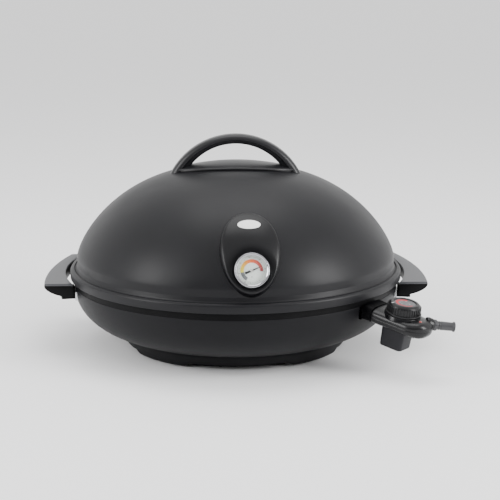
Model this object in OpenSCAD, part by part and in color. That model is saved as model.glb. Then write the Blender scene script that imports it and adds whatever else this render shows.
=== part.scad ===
// Electric indoor grill: a round base on four feet, a plate with its heating element, a lift-off lid
// with a heat gauge, and a controller that plugs into the plate.
// Millimetres. Z is up, the origin is on the table under the middle of the base, the front faces -Y.

/* [Base] */
// Radius of the base at its rim
base_r = 230.5; // [200:0.5:260]
// Height of the base's rim above the table
base_rim_z = 90.5; // [80:0.5:110]
// Thickness of the base's wall
base_t = 2.5; // [2:0.25:4]
// Height of the bowl's underside above the table, at the middle
bowl_z = 10; // [7:1:14]
// Radius of the skirt under the bowl
skirt_r = 159; // [140:1:175]
// Height of the skirt's lower edge above the table
skirt_z = 7; // [4:1:9]
// Thickness of the skirt
skirt_t = 3; // [2:0.5:5]
// Radius of a foot
foot_r = 38; // [30:1:44]
// Distance by which a foot's circle is cut off by the skirt
foot_cut = 6; // [3:0.5:9]
// Angle of a foot from the side of the base
foot_turn = 46; // [35:1:55]
// Radius of a rubber pad
pad_r = 18; // [12:1:22]
// Thickness of a rubber pad
pad_h = 4; // [3:0.5:6]
// Depth of a pad's recess in its foot
pad_sink = 1.5; // [1:0.25:2]
// Radius of the bore in a rubber pad
pad_bore = 4; // [3:0.25:6]

/* [Reflector and drip tray] */
// Gap between the heat reflector and the base's wall
reflector_gap = 36; // [26:1:56]
// Height of the reflector's floor above the table
reflector_z = 50; // [42:1:56]
// Height of the reflector's rim above its floor
reflector_h = 18; // [10:1:22]
// Thickness of the reflector
reflector_t = 1; // [0.8:0.1:2]
// Radius of a post that carries the reflector
post_r = 7; // [5:0.5:10]
// Distance of a post from the base's middle
post_at = 120; // [100:1:140]
// Radius of the drip tray
tray_r = 72; // [50:1:90]
// Height of the drip tray
tray_h = 22; // [12:1:28]
// Thickness of the drip tray
tray_t = 1.2; // [0.8:0.1:2]
// Width of the drip tray's flange
tray_lip = 6; // [3:0.5:10]

/* [Side handles] */
// Distance by which a side handle reaches beyond the base
grip_out = 40.5; // [34:0.5:55]
// Radius of a handle's outer edge
grip_curve_r = 480; // [360:5:600]
// Distance of the outermost point from the middle, towards the front
grip_apex = 10; // [0:1:20]
// Distance of a handle's flat front end from the middle, towards the front
grip_front = 60; // [50:1:75]
// Length of a handle
grip_l = 196; // [180:1:215]
// Radius of the finger hollow in a side handle
grip_hollow_r = 298; // [280:1:330]
// Distance from the base to the deepest point of the finger hollow
grip_gap = 16; // [14:0.5:18]
// Distance of the finger hollow's deepest point from the middle, towards the back
grip_hollow_y = 42; // [34:1:50]
// Height of a handle's underside below the base's rim
grip_drop = 10.5; // [8:0.5:14]
// Height of a handle's body
grip_h = 16; // [12:0.5:20]
// Width of the rounding under a handle's outer edge
grip_round_w = 34; // [10:1:40]
// Thickness of a handle's cover
grip_cover_t = 3; // [2:0.5:5]
// Rounding of the cover's outer edge
grip_cover_round = 2; // [0.5:0.25:2.5]
// Width of the lug that joins a handle to the base
lug_w = 20; // [14:1:26]
// Height of a lug below its screw
lug_h = 4.5; // [3.5:0.5:6]
// Depth of the front lug from the base outwards
lug_front_d = 20; // [15:0.5:24]
// Depth of the back lug from the base outwards
lug_back_d = 40; // [36:0.5:44]
// Thickness of the steel plate under a lug
lug_plate_t = 1.5; // [1:0.25:3]
// Angle of the front lug in front of the side of the base
lug_front = 10.5; // [9:0.5:12]
// Angle of the back lug behind the side of the base
lug_back = 26; // [24:0.5:28]

/* [Plate] */
// Height of the plate's rim above its seat
plate_rim_h = 20.5; // [16:0.5:26]
// Thickness of the plate's rim
plate_rim_t = 4; // [3:0.5:6]
// Thickness of the plate's floor at its edge
plate_floor_t = 6.5; // [5:0.5:9]
// Fall of the plate's floor towards the drain
plate_fall = 2.5; // [1:0.5:3]
// Depth of the lip that keeps the plate in the base
plate_lip_h = 6; // [4:0.5:8]
// Width of the gutter round the ridged part of the plate
gutter_w = 14; // [9:0.5:30]
// Distance from ridge to ridge
ridge_pitch = 14; // [10:0.5:20]
// Width of a ridge
ridge_w = 5; // [3:0.5:7]
// Height of the ridges above the floor's edge
ridge_h = 3; // [2:0.5:5]
// Radius of the drain hole
drain_r = 8; // [5:0.5:12]

/* [Heating element] */
// Radius of the element's ring
element_ring_r = 132; // [100:1:150]
// Radius of the element's tube
element_r = 3.5; // [3:0.25:5]
// Distance of each terminal pin from the plug's axis
pin_y = 11; // [9:0.5:13]
// Radius of a terminal pin
pin_r = 2.4; // [2:0.1:3]
// Width of an element clip
clip_w = 14; // [8:1:20]
// Thickness of an element clip
clip_t = 1.5; // [1:0.25:2.5]

/* [Lid] */
// Distance by which the lid's rim reaches beyond the plate
lid_over = 6; // [4:0.5:10]
// Height of the upright band round the lid's rim
lid_band_h = 13; // [9:0.5:18]
// Height from the band to the foot of the dome
lid_neck_h = 16; // [10:0.5:22]
// Width of the ledge round the foot of the dome
lid_ledge_w = 10; // [7:0.5:16]
// Height of the dome above its foot
dome_h = 126; // [100:1:150]
// Thickness of the lid
lid_t = 2; // [1.5:0.25:3]

/* [Lid handle] */
// Half the length of the handle's plinth
plinth_l = 89; // [80:1:96]
// Half the width of the handle's plinth
plinth_w = 36; // [30:1:44]
// Height of the plinth's middle above the lid
plinth_h = 8.5; // [6:0.5:11]
// Height of the handle above the lid
arch_h = 46; // [40:0.5:56]
// Radius of the arch's outer curve
arch_ro = 104; // [95:0.5:120]
// Radius of the arch's inner curve
arch_ri = 81; // [70:0.5:88]
// Thickness of the arch at its top
arch_t = 13; // [10:0.5:18]
// Depth of the arch from front to back
arch_d = 28; // [20:1:36]
// Width of the step that rounds the arch's edges
arch_step = 2.5; // [1:0.5:4]
// Fall of the plinth's top from its middle to its tip
plinth_bow = 12; // [8:0.5:16]
// Fall of the plinth's top from its middle to its long edge
plinth_crown = 8; // [5:0.5:10]
// Distance of a handle screw from the plinth's tip
handle_screw_in = 17; // [13:0.5:22]

/* [Gauge housing] */
// Angle by which the gauge stands to the right of the front
gauge_turn = 3.8; // [0:0.2:8]
// Distance of the housing's axis from the foot of the dome, inwards
pod_in = 23.5; // [18:0.5:40]
// Angle of the housing's axis above level
pod_elev = 37; // [30:1:45]
// Half the width of the housing
pod_a = 39; // [34:0.5:44]
// Half the height of the housing
pod_b = 58; // [54:0.5:66]
// Height of the housing's face above the dome
pod_h = 15; // [12:0.5:20]
// Radius of the housing's domed face
pod_face_r = 110; // [90:1:160]
// Thickness of the housing's wall
pod_t = 2.5; // [2:0.25:4]
// Distance of the badge above the housing's axis
badge_up = 34.5; // [28:0.5:40]
// Half the width of the badge
badge_a = 15; // [10:0.5:18]
// Half the height of the badge
badge_b = 7.5; // [5:0.5:9]

/* [Gauge] */
// Distance of the gauge's front beyond the foot of the dome
gauge_out = 5.5; // [3:0.5:9]
// Height of the gauge's middle above the foot of the dome
gauge_up = 28.2; // [22:0.1:34]
// Angle of the gauge's face above level
gauge_elev = 20; // [10:1:30]
// Radius of the gauge's bezel
bezel_r = 23; // [20:0.5:27]
// Radius of the dial's window
window_r = 19; // [16:0.5:21]
// Depth of the bezel
bezel_h = 6; // [5:0.5:8]
// Radius of the gauge's case
case_r = 21.5; // [19:0.25:25]
// Depth of the gauge's case behind the bezel
case_h = 6.5; // [5:0.25:7]
// Radius of the gauge's stem
stem_r = 3; // [2:0.25:4]
// Length of the gauge's stem
stem_l = 45; // [25:1:70]
// Thickness of the needle
needle_t = 0.6; // [0.4:0.1:1]
// Length of the needle's point
needle_l = 11.5; // [8:0.5:15]
// Length of the needle's tail
needle_tail = 9.5; // [5:0.5:12]
// Angle of the needle on the dial
needle_turn = 22; // [-3:1:237]

/* [Plug] */
// Angle of the plug's axis to the right of the side
plug_turn = 40; // [34:1:46]
// Angle by which the plug's axis falls outwards
plug_fall = 10; // [6:1:12]
// Distance of the plug's seam from the base
plug_out = 16.5; // [15:0.5:24]
// Width of the shroud round the plug
shroud_w = 46; // [40:0.5:50]
// Height of the shroud round the plug
shroud_h = 22; // [18:0.5:24]
// Length of the shroud outside the plate
shroud_l = 14.5; // [12:0.5:15]
// Rounding of the shroud's edges
shroud_round = 9.5; // [4:0.5:10.5]
// Thickness of the shroud's wall
shroud_t = 2.5; // [2:0.25:3.5]

/* [Controller] */
// Width of the controller's body
ctrl_w = 50; // [44:1:56]
// Height of the controller's body
ctrl_h = 22; // [18:0.5:26]
// Length of the controller's body
ctrl_l = 78; // [72:1:90]
// Rounding of the controller's edges
ctrl_round = 10.5; // [5:0.5:10.5]
// Thickness of the controller's wall
ctrl_t = 2.2; // [1.6:0.1:3]
// Length of the box below the controller
box_l = 35; // [30:1:40]
// Width of the box below the controller
box_w = 30; // [24:1:38]
// Height of the box below the controller
box_h = 26; // [18:1:34]
// Distance of the box from the seam
box_at = 13; // [12:0.5:16]
// Distance of the controller's screws from its ends
ctrl_screw_in = 10; // [9:0.5:11]
// Distance of the controller's screws from its middle
ctrl_screw_y = 13; // [12:0.5:14]
// Radius of the probe
probe_r = 2.6; // [2:0.1:3.5]
// Length of the probe beyond the seam
probe_l = 34; // [26:1:36]

/* [Knob] */
// Radius of the knob's skirt
knob_r = 24; // [20:0.5:26]
// Height of the knob
knob_h = 16; // [12:0.5:20]
// Radius of the knob's top face
knob_top_r = 21; // [18:0.5:22]
// Distance of the knob from the seam
knob_at = 34; // [30:0.5:36]
// Number of ribs round the knob
knob_ribs = 40; // [24:2:60]
// Radius of the knob's label
label_r = 14.5; // [10:0.5:17]
// Thickness of the knob's label
label_t = 0.6; // [0.4:0.1:1]
// Radius of the knob's spindle
spindle_r = 3; // [2.5:0.25:4]
// Radius of the pilot lamp
lamp_r = 2; // [1.5:0.25:3]
// Distance of the pilot lamp from the controller's end
lamp_in = 13; // [10:0.5:16]

/* [Strain relief] */
// Radius of the strain relief's tube
relief_r = 6; // [5:0.25:8]
// Radius of the strain relief's collar
relief_collar_r = 7.5; // [7:0.25:10]
// Height of the strain relief above the controller's middle
relief_up = 4; // [0:0.5:4]
// Length of the strain relief outside the body
relief_l = 29.5; // [20:1:45]
// Radius of the cord's bore
cord_r = 3.6; // [3:0.1:4.5]
// Angle between the strain relief and the controller's axis
relief_turn = 44; // [25:1:55]

/* [Screws] */
// Radius of a large screw's shank
screw_r = 2; // [2:0.25:3]
// Radius of a large screw's head
screw_head_r = 4; // [4:0.25:6]
// Height of a large screw's head
screw_head_h = 2.4; // [2:0.2:4]
// Radius of a small screw's shank
small_r = 1.5; // [1.2:0.1:2]
// Radius of a small screw's head
small_head_r = 3; // [2.4:0.1:4]
// Height of a small screw's head
small_head_h = 1.8; // [1.2:0.1:2.4]

/* [Clearances] */
// Running clearance of a shaft in its hole
fit_run = 0.05; // [0.02:0.01:0.1]
// Gap round a screw in its hole
fit_screw = 0.1; // [0.05:0.05:0.4]
// Gap round a piece that drops into place
fit_loose = 0.6; // [0.3:0.1:1]
// Gap between the plug and its shroud
fit_plug = 0.4; // [0.3:0.05:0.8]
// Gap between a moving piece and its neighbour
fit_gap = 0.5; // [0.3:0.05:1]

/* [Hidden] */
$fn = 96;
big = 600;
eps = 0.01;

// Curves of the bowl and of the dome: a radius and a height from one angle
bowl_p = 0.54;
bowl_q = 0.917;
dome_p = 0.79;
dome_q = 1.43;
curve_n = 24;

function bowl_pt(t, r, z) = [r * pow(cos(t), bowl_p), base_rim_z - (base_rim_z - z) * pow(sin(t), bowl_q)];
function bowl_z_at(r) = base_rim_z - (base_rim_z - bowl_z) * pow(sin(acos(pow(r / base_r, 1 / bowl_p))), bowl_q);

plate_seat_z = base_rim_z;
plate_r = base_r - fit_gap;
lid_r = plate_r + lid_over;
dome_r = lid_r - lid_ledge_w;
foot_at = skirt_r - foot_r + foot_cut;
reflector_r = base_r - base_t - reflector_gap;
ridge_r = plate_r - plate_rim_t - gutter_w;
pod_at = dome_r - pod_in;
pod_n = 72;
grip_band = 3 * grip_out;
gauge_rho = dome_r + gauge_out;
handle_screw_at = plinth_l - handle_screw_in;
plate_lip_r = base_r - base_t - fit_loose;
element_z = plate_seat_z - element_r;
leg_end = plate_lip_r - 16;
plug_at = base_r + plug_out;
plug_z = element_z - (plug_at - leg_end) * tan(plug_fall);
notch_z = plug_z + plug_out * tan(plug_fall) - (shroud_h / 2 + fit_loose) / cos(plug_fall);
notch_w = shroud_w + 2 * fit_plug;
grip_ro = base_r + grip_out;
grip_z = base_rim_z - grip_drop;
lug_z = plate_seat_z - plate_lip_h - screw_head_r - fit_gap;
ledge_z = plate_seat_z + plate_rim_h;
lid_rim_z = ledge_z - lid_band_h + lid_t;
dome_z = lid_rim_z + lid_band_h + lid_neck_h;
dome_top_z = dome_z + dome_h;

function dome_pt(t, r, h) = [r * pow(cos(t), dome_p), dome_z + h * pow(sin(t), dome_q)];
function dome_z_at(r) = dome_z + dome_h * pow(sin(acos(pow(r / dome_r, 1 / dome_p))), dome_q);
function dome_lean(r) = atan2(dome_z_at(r - 1) - dome_z_at(r + 1), 2);

// Places
module on_dome(turn, r) {
    rotate([0, 0, turn])
    translate([r, 0, dome_z_at(r)])
    rotate([0, dome_lean(r), 0])
    children();
}
module at_pod() {
    rotate([0, 0, gauge_turn - 90])
    translate([pod_at, 0, dome_z_at(pod_at)])
    rotate([0, 90 - pod_elev, 0])
    children();
}
module at_gauge() {
    rotate([0, 0, gauge_turn - 90])
    translate([gauge_rho, 0, dome_z + gauge_up])
    rotate([0, 90 - gauge_elev, 0])
    children();
}
module at_plug() {
    rotate([0, 0, -plug_turn])
    translate([plug_at, 0, plug_z])
    rotate([0, plug_fall, 0])
    children();
}
module at_knob() {
    at_plug()
    translate([knob_at, 0, ctrl_h / 2])
    children();
}
module at_feet() {
    for (a = [foot_turn, 180 - foot_turn, 180 + foot_turn, -foot_turn])
        rotate([0, 0, a])
        translate([foot_at, 0, 0])
        children();
}
module at_posts() {
    for (a = [90, 210, 330])
        rotate([0, 0, a])
        translate([post_at, 0, 0])
        children();
}
module both_sides() {
    children();
    mirror([1, 0, 0])
    children();
}

// Screws, drawn with the head's underside at zero and the shank upwards
module screw(r, head_r, head_h, l) {
    difference() {
        union() {
            translate([0, 0, -head_h])
            cylinder(r = head_r, h = head_h, $fn = 48);
            cylinder(r = r, h = l, $fn = 32);
        }
        for (a = [0, 90])
            rotate([0, 0, a])
            translate([-head_r * 0.6, -0.4, -head_h - eps])
            cube([head_r * 1.2, 0.8, head_h * 0.5]);
    }
}
module large_screw(l) {
    screw(screw_r, screw_head_r, screw_head_h, l);
}
module small_screw(l) {
    screw(small_r, small_head_r, small_head_h, l);
}

// Solids of revolution that several pieces are cut by
module bowl_solid(r, z) {
    rotate_extrude()
    polygon(concat([for (i = [0:curve_n]) bowl_pt(90 * i / curve_n, r, z)], [[0, base_rim_z]]));
}
module dome_solid() {
    rotate_extrude()
    polygon(concat([[0, lid_rim_z], [dome_r, lid_rim_z]],
        [for (i = [0:curve_n]) dome_pt(90 * i / curve_n, dome_r, dome_h)]));
}

// Base
base_inner_r = base_r - base_t;
foot_z = pad_h - pad_sink;
post_top_z = reflector_z;

module skirt() {
    z_top = bowl_z_at(skirt_r) + base_t / 2;
    difference() {
        translate([0, 0, skirt_z])
        cylinder(r = skirt_r, h = z_top - skirt_z);
        translate([0, 0, skirt_z - 1])
        cylinder(r = skirt_r - skirt_t, h = big);
    }
    intersection() {
        translate([0, 0, foot_z])
        cylinder(r = skirt_r, h = z_top - foot_z);
        at_feet()
        cylinder(r = foot_r, h = z_top);
    }
}
module base_shell() {
    color("#2b2c2f")
    difference() {
        union() {
            difference() {
                union() {
                    bowl_solid(base_r, bowl_z);
                    skirt();
                }
                bowl_solid(base_inner_r, bowl_z + base_t);
            }
            at_posts()
            translate([0, 0, bowl_z + base_t / 2])
            cylinder(r = post_r, h = post_top_z - bowl_z - base_t / 2);
        }
        at_feet()
        translate([0, 0, -1])
        cylinder(r = pad_r + fit_screw, h = foot_z + pad_sink + 1);
        at_posts()
        translate([0, 0, bowl_z + base_t + 8])
        cylinder(r = small_r + fit_screw, h = big, $fn = 32);
        rotate([0, 0, -plug_turn])
        translate([base_inner_r - 30, -notch_w / 2, notch_z])
        cube([60, notch_w, 60]);
        both_sides()
        at_lugs()
        translate([base_inner_r - 20, 0, 0])
        rotate([0, 90, 0])
        cylinder(r = screw_r + fit_screw, h = 30, $fn = 32);
    }
}
module foot_pads() {
    color("#1a1a1a")
    at_feet()
    difference() {
        cylinder(r = pad_r, h = pad_h);
        translate([0, 0, -1])
        cylinder(r = pad_bore, h = pad_h + 2);
    }
}
module heat_reflector() {
    color("#b9bcc0")
    difference() {
        translate([0, 0, reflector_z])
        rotate_extrude()
        polygon([[0, 0], [reflector_r - reflector_h, 0], [reflector_r, reflector_h],
            [reflector_r + 4, reflector_h], [reflector_r + 4, reflector_h + reflector_t],
            [reflector_r - reflector_t / 2, reflector_h + reflector_t],
            [reflector_r - reflector_h - reflector_t / 2, reflector_t], [0, reflector_t]]);
        at_posts()
        cylinder(r = small_r + fit_screw, h = big, $fn = 32);
    }
}
module reflector_screws() {
    color("#c9ccd0")
    at_posts()
    translate([0, 0, reflector_z + reflector_t])
    mirror([0, 0, 1])
    small_screw(12);
}
tray_z = reflector_z + reflector_t;
module drip_tray() {
    color("#c4c7ca")
    translate([0, 0, tray_z])
    rotate_extrude()
    polygon([[0, 0], [tray_r - tray_h / 4, 0], [tray_r, tray_h - tray_t], [tray_r + tray_lip, tray_h - tray_t],
        [tray_r + tray_lip, tray_h], [tray_r - tray_t, tray_h], [tray_r - tray_h / 4 - tray_t, tray_t], [0, tray_t]]);
}

// Side handles
module at_grip_curve() {
    translate([grip_ro - grip_curve_r, -grip_apex, 0])
    children();
}
module grip_plan() {
    intersection() {
        difference() {
            translate([grip_ro - grip_curve_r, -grip_apex])
            circle(r = grip_curve_r, $fn = 256);
            translate([base_r + grip_gap - grip_hollow_r, grip_hollow_y])
            circle(r = grip_hollow_r, $fn = 192);
            circle(r = base_r + lug_plate_t, $fn = 192);
        }
        translate([0, -grip_front])
        square([big, grip_l]);
    }
}
module at_lugs() {
    for (a = [-lug_front, lug_back])
        rotate([0, 0, a])
        translate([0, 0, lug_z])
        children();
}
module grip_body() {
    color("#1d1e20")
    difference() {
        union() {
            intersection() {
                translate([0, 0, grip_z - 1])
                linear_extrude(grip_h + 1)
                grip_plan();
                at_grip_curve()
                rotate_extrude($fn = 256)
                polygon(concat([[grip_curve_r - grip_band, grip_z + grip_h], [grip_curve_r - grip_band, grip_z]],
                    [for (i = [0:8]) [grip_curve_r - grip_round_w * (1 - sin(90 * i / 8)),
                        grip_z + grip_h * pow(1 - cos(90 * i / 8), 0.8)]]));
            }
            for (a = [[-lug_front, lug_front_d], [lug_back, lug_back_d]])
                rotate([0, 0, a[0]])
                translate([base_r - 10, -lug_w / 2, lug_z - lug_h])
                cube([10 + a[1], lug_w, grip_z + grip_h - 3 - lug_z + lug_h]);
        }
        translate([0, 0, -1])
        cylinder(r = base_r + lug_plate_t, h = big, $fn = 192);
        at_lugs()
        translate([base_r - 10, 0, 0])
        rotate([0, 90, 0])
        cylinder(r = screw_r + fit_screw, h = 24, $fn = 32);
    }
}
module grip_cover() {
    top_z = grip_z + grip_h + grip_cover_t;
    color("#85878b")
    intersection() {
        translate([0, 0, grip_z + grip_h])
        linear_extrude(grip_cover_t)
        grip_plan();
        at_grip_curve()
        rotate_extrude($fn = 256)
        union() {
            translate([grip_curve_r - grip_band, grip_z])
            square([grip_band - grip_cover_round, grip_h + grip_cover_t]);
            translate([grip_curve_r - grip_band / 2, grip_z])
            square([grip_band / 2, grip_h + grip_cover_t - grip_cover_round]);
            translate([grip_curve_r - grip_cover_round, top_z - grip_cover_round])
            circle(r = grip_cover_round, $fn = 32);
        }
    }
}
module grip_body_left() {
    mirror([1, 0, 0])
    grip_body();
}
module grip_cover_left() {
    mirror([1, 0, 0])
    grip_cover();
}
module grip_body_right() {
    grip_body();
}
module grip_cover_right() {
    grip_cover();
}
module grip_plates() {
    color("#b4b7bb")
    both_sides()
    difference() {
        at_lugs()
        translate([base_r - 14, -lug_w / 2 - 2, -lug_h - 2])
        cube([20, lug_w + 4, 2 * lug_h + 3]);
        bowl_solid(base_r, bowl_z);
        difference() {
            cylinder(r = big, h = big);
            translate([0, 0, -1])
            cylinder(r = base_r + lug_plate_t, h = big + 2);
        }
        at_lugs()
        translate([base_r - 20, 0, 0])
        rotate([0, 90, 0])
        cylinder(r = screw_r + fit_screw, h = 40, $fn = 32);
    }
}
module grip_screws() {
    color("#c9ccd0")
    both_sides()
    at_lugs()
    translate([base_inner_r - 2.8, 0, 0])
    rotate([0, 90, 0])
    large_screw(15);
}

// Plate and element
plate_floor_z = plate_seat_z + plate_floor_t;
tongue_l = 34;
tongue_h = 6;
tongue_z = plate_seat_z - tongue_h;

module ridges() {
    n = floor(ridge_r / ridge_pitch);
    intersection() {
        translate([0, 0, plate_seat_z + 1])
        cylinder(r = ridge_r, h = plate_floor_t + ridge_h - 1);
        for (i = [-n:n])
            translate([i * ridge_pitch - ridge_w / 2, -ridge_r, plate_seat_z + 1])
            cube([ridge_w, 2 * ridge_r, plate_floor_t + ridge_h]);
    }
}
module grill_plate() {
    color("#18181a")
    difference() {
        union() {
            rotate_extrude()
            polygon([[0, plate_seat_z], [plate_lip_r - 4, plate_seat_z], [plate_lip_r - 4, plate_seat_z - plate_lip_h],
                [plate_lip_r, plate_seat_z - plate_lip_h], [plate_lip_r, plate_seat_z], [plate_r, plate_seat_z],
                [plate_r, ledge_z], [plate_r - plate_rim_t, ledge_z], [plate_r - plate_rim_t - 3, plate_floor_z + 2],
                [plate_r - plate_rim_t - 6, plate_floor_z - plate_fall / 2], [ridge_r + 1, plate_floor_z - plate_fall],
                [ridge_r, plate_floor_z], [drain_r * 2, plate_floor_z - plate_fall],
                [0, plate_floor_z - plate_fall - 1]]);
            ridges();
        }
        translate([0, 0, plate_seat_z - 1])
        cylinder(r = drain_r, h = big);
        translate([0, 0, plate_floor_z - plate_fall])
        cylinder(r = drain_r * 2, h = big);
        rotate([0, 0, -plug_turn])
        translate([base_inner_r - 40, -notch_w / 2, plate_seat_z - plate_lip_h - 1])
        cube([60, notch_w, plate_lip_h + 1]);
        rotate([0, 0, -plug_turn])
        for (y = [-pin_y - 9, pin_y + 9])
            translate([plate_lip_r - 30, y, plate_seat_z - 1])
            cylinder(r = small_r + fit_screw, h = 5, $fn = 32);
        at_clips()
        for (y = [-clip_screw_at, clip_screw_at])
            translate([y, 0, plate_seat_z - 1])
            cylinder(r = small_r + fit_screw, h = 5, $fn = 32);
    }
}
module at_clips() {
    for (a = [60, 120, 180, 240])
        rotate([0, 0, a - plug_turn])
        translate([element_ring_r, 0, 0])
        children();
}
leg_turn = asin(pin_y / element_ring_r);
module heating_element() {
    color("#6d6a66")
    rotate([0, 0, -plug_turn])
    union() {
        rotate([0, 0, leg_turn - 1.8])
        rotate_extrude(angle = 363.6 - 2 * leg_turn)
        translate([element_ring_r, element_z])
        circle(r = element_r, $fn = 48);
        for (y = [-pin_y, pin_y])
            translate([element_ring_r * cos(leg_turn), y, element_z])
            rotate([0, 90, 0])
            cylinder(r = element_r - 0.4, h = leg_end - element_ring_r * cos(leg_turn), $fn = 48);
    }
}
clip_drop = 2 * element_r;
clip_screw_at = clip_w / 2 + clip_t + small_head_r + fit_gap;
clip_half = clip_screw_at + small_head_r + 1;
module element_clips() {
    color("#b4b7bb")
    difference() {
        at_clips()
        translate([-clip_half, -5, plate_seat_z - clip_drop - clip_t])
        cube([2 * clip_half, 10, clip_drop + clip_t]);
        rotate_extrude()
        translate([element_ring_r - clip_w / 2, plate_seat_z - clip_drop])
        square([clip_w, clip_drop + 1]);
        at_clips()
        for (a = [0, 180])
            rotate([0, 0, a])
            translate([clip_w / 2 + clip_t, -6, plate_seat_z - clip_drop - clip_t - 1])
            cube([clip_half, 12, clip_drop + 1]);
        at_clips()
        for (y = [-clip_screw_at, clip_screw_at])
            translate([y, 0, 0])
            cylinder(r = small_r + fit_screw, h = big, $fn = 32);
    }
}
module clip_screws() {
    color("#c9ccd0")
    at_clips()
    for (y = [-clip_screw_at, clip_screw_at])
        translate([y, 0, plate_seat_z - clip_t])
        small_screw(clip_t + 3);
}
pin_back = (plug_at - leg_end - 0.6) / cos(plug_fall);
module terminal_pins() {
    color("#c8b26a")
    at_plug()
    for (y = [-pin_y, pin_y])
        translate([-pin_back, y, 0])
        rotate([0, 90, 0])
        cylinder(r = pin_r, h = pin_back - 3, $fn = 48);
}
module rounded_rect(w, h, r) {
    union() {
        square([w - 2 * r, h], center = true);
        square([w, h - 2 * r], center = true);
        for (x = [-1, 1], y = [-1, 1])
            translate([x * (w / 2 - r), y * (h / 2 - r)])
            circle(r = r, $fn = 48);
    }
}
module bar(w, h, r, l) {
    rotate([90, 0, 90])
    linear_extrude(l)
    rounded_rect(w, h, r);
}
module plug_shroud() {
    color("#1d1e20")
    difference() {
        union() {
            at_plug()
            translate([-shroud_l - fit_gap, 0, 0])
            bar(shroud_w, shroud_h, shroud_round, shroud_l);
            rotate([0, 0, -plug_turn])
            translate([plate_lip_r - tongue_l, -shroud_w / 2 + 2, tongue_z])
            cube([tongue_l + 12, shroud_w - 4, tongue_h]);
        }
        at_plug()
        translate([-shroud_l - fit_gap + shroud_t, 0, 0])
        bar(shroud_w - 2 * shroud_t, shroud_h - 2 * shroud_t, shroud_round - shroud_t, shroud_l);
        at_plug()
        for (y = [-pin_y, pin_y])
            translate([-60, y, 0])
            rotate([0, 90, 0])
            cylinder(r = pin_r + fit_screw, h = 60, $fn = 48);
        at_plug()
        translate([-60, 0, 0])
        rotate([0, 90, 0])
        cylinder(r = probe_r + fit_gap, h = 60, $fn = 48);
        rotate([0, 0, -plug_turn])
        for (y = [-pin_y, pin_y])
            translate([100, y, element_z])
            rotate([0, 90, 0])
            cylinder(r = element_r + fit_screw, h = leg_end + 0.5 - 100, $fn = 48);
        rotate([0, 0, -plug_turn])
        for (y = [-pin_y - 9, pin_y + 9])
            translate([plate_lip_r - 30, y, 0])
            cylinder(r = small_r + fit_screw, h = big, $fn = 32);
    }
}
module shroud_screws() {
    color("#c9ccd0")
    rotate([0, 0, -plug_turn])
    for (y = [-pin_y - 9, pin_y + 9])
        translate([plate_lip_r - 30, y, tongue_z])
        small_screw(tongue_h + 3);
}

// Lid
neck_r = dome_r + 3;
module lid_shell() {
    band_z = lid_rim_z + lid_band_h;
    color("#3a3b3f")
    difference() {
        rotate_extrude()
        polygon(concat(
            [[lid_r - lid_t, lid_rim_z], [lid_r, lid_rim_z], [lid_r, band_z - 2], [lid_r - 2, band_z],
                [neck_r, band_z + 1], [dome_r, band_z + 5]],
            [for (i = [0:curve_n]) dome_pt(90 * i / curve_n, dome_r, dome_h)],
            [for (i = [curve_n:-1:0]) dome_pt(90 * i / curve_n, dome_r - lid_t, dome_h - lid_t)],
            [[dome_r - lid_t, band_z + 2], [neck_r - lid_t - 1, band_z - lid_t],
                [lid_r - lid_t, band_z - lid_t]]));
        for (a = [0, 180])
            on_dome(a, handle_screw_at)
            translate([0, 0, -10])
            cylinder(r = screw_r + fit_screw, h = 20, $fn = 32);
        at_gauge()
        translate([0, 0, -60])
        cylinder(r = stem_r + fit_loose, h = 60, $fn = 48);
        at_pod_screws()
        translate([0, 0, -10])
        cylinder(r = small_r + fit_screw, h = 20, $fn = 32);
    }
}

// Lid handle
arch_oz = dome_top_z + arch_h - arch_ro;
arch_iz = dome_top_z + arch_h - arch_t - arch_ri;
module lens_plan(l, w) {
    lens_r = (l * l + w * w) / (2 * w);
    intersection() {
        translate([0, w - lens_r])
        circle(r = lens_r, $fn = 192);
        translate([0, lens_r - w])
        circle(r = lens_r, $fn = 192);
    }
}
module arch_plan(inset) {
    difference() {
        translate([0, arch_oz])
        circle(r = arch_ro - inset, $fn = 192);
        translate([0, arch_iz])
        circle(r = arch_ri + inset, $fn = 192);
    }
}
module handle_side(d, inset) {
    translate([0, d / 2, 0])
    rotate([90, 0, 0])
    linear_extrude(d)
    arch_plan(inset);
}
module lid_handle() {
    long_r = (plinth_l * plinth_l + plinth_bow * plinth_bow) / (2 * plinth_bow);
    cross_r = (plinth_w * plinth_w + plinth_crown * plinth_crown) / (2 * plinth_crown);
    top_z = dome_top_z + plinth_h;
    color("#2f3033")
    difference() {
        union() {
            intersection() {
                union() {
                    handle_side(arch_d, arch_step);
                    handle_side(arch_d - 2 * arch_step, 0);
                }
                translate([-big / 2, -big / 2, dome_z])
                cube(big);
            }
            intersection() {
                translate([0, 0, dome_z])
                linear_extrude(big)
                lens_plan(plinth_l, plinth_w);
                translate([0, 0, top_z - long_r])
                rotate([90, 0, 0])
                cylinder(r = long_r, h = big, center = true, $fn = 192);
                translate([0, 0, top_z - cross_r])
                rotate([0, 90, 0])
                cylinder(r = cross_r, h = big, center = true, $fn = 192);
            }
        }
        dome_solid();
        for (a = [0, 180])
            on_dome(a, handle_screw_at)
            translate([0, 0, -2])
            cylinder(r = screw_r + fit_screw, h = 14.5, $fn = 32);
    }
}
washer_t = 1;
module handle_washers() {
    color("#c9ccd0")
    for (a = [0, 180])
        on_dome(a, handle_screw_at)
        translate([0, 0, -lid_t - 0.3 - washer_t])
        difference() {
            cylinder(r = screw_head_r + 1.5, h = washer_t);
            translate([0, 0, -1])
            cylinder(r = screw_r + fit_screw, h = 4, $fn = 32);
        }
}
module handle_screws() {
    color("#c9ccd0")
    for (a = [0, 180])
        on_dome(a, handle_screw_at)
        translate([0, 0, -lid_t - 0.3 - washer_t])
        large_screw(14);
}

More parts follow.
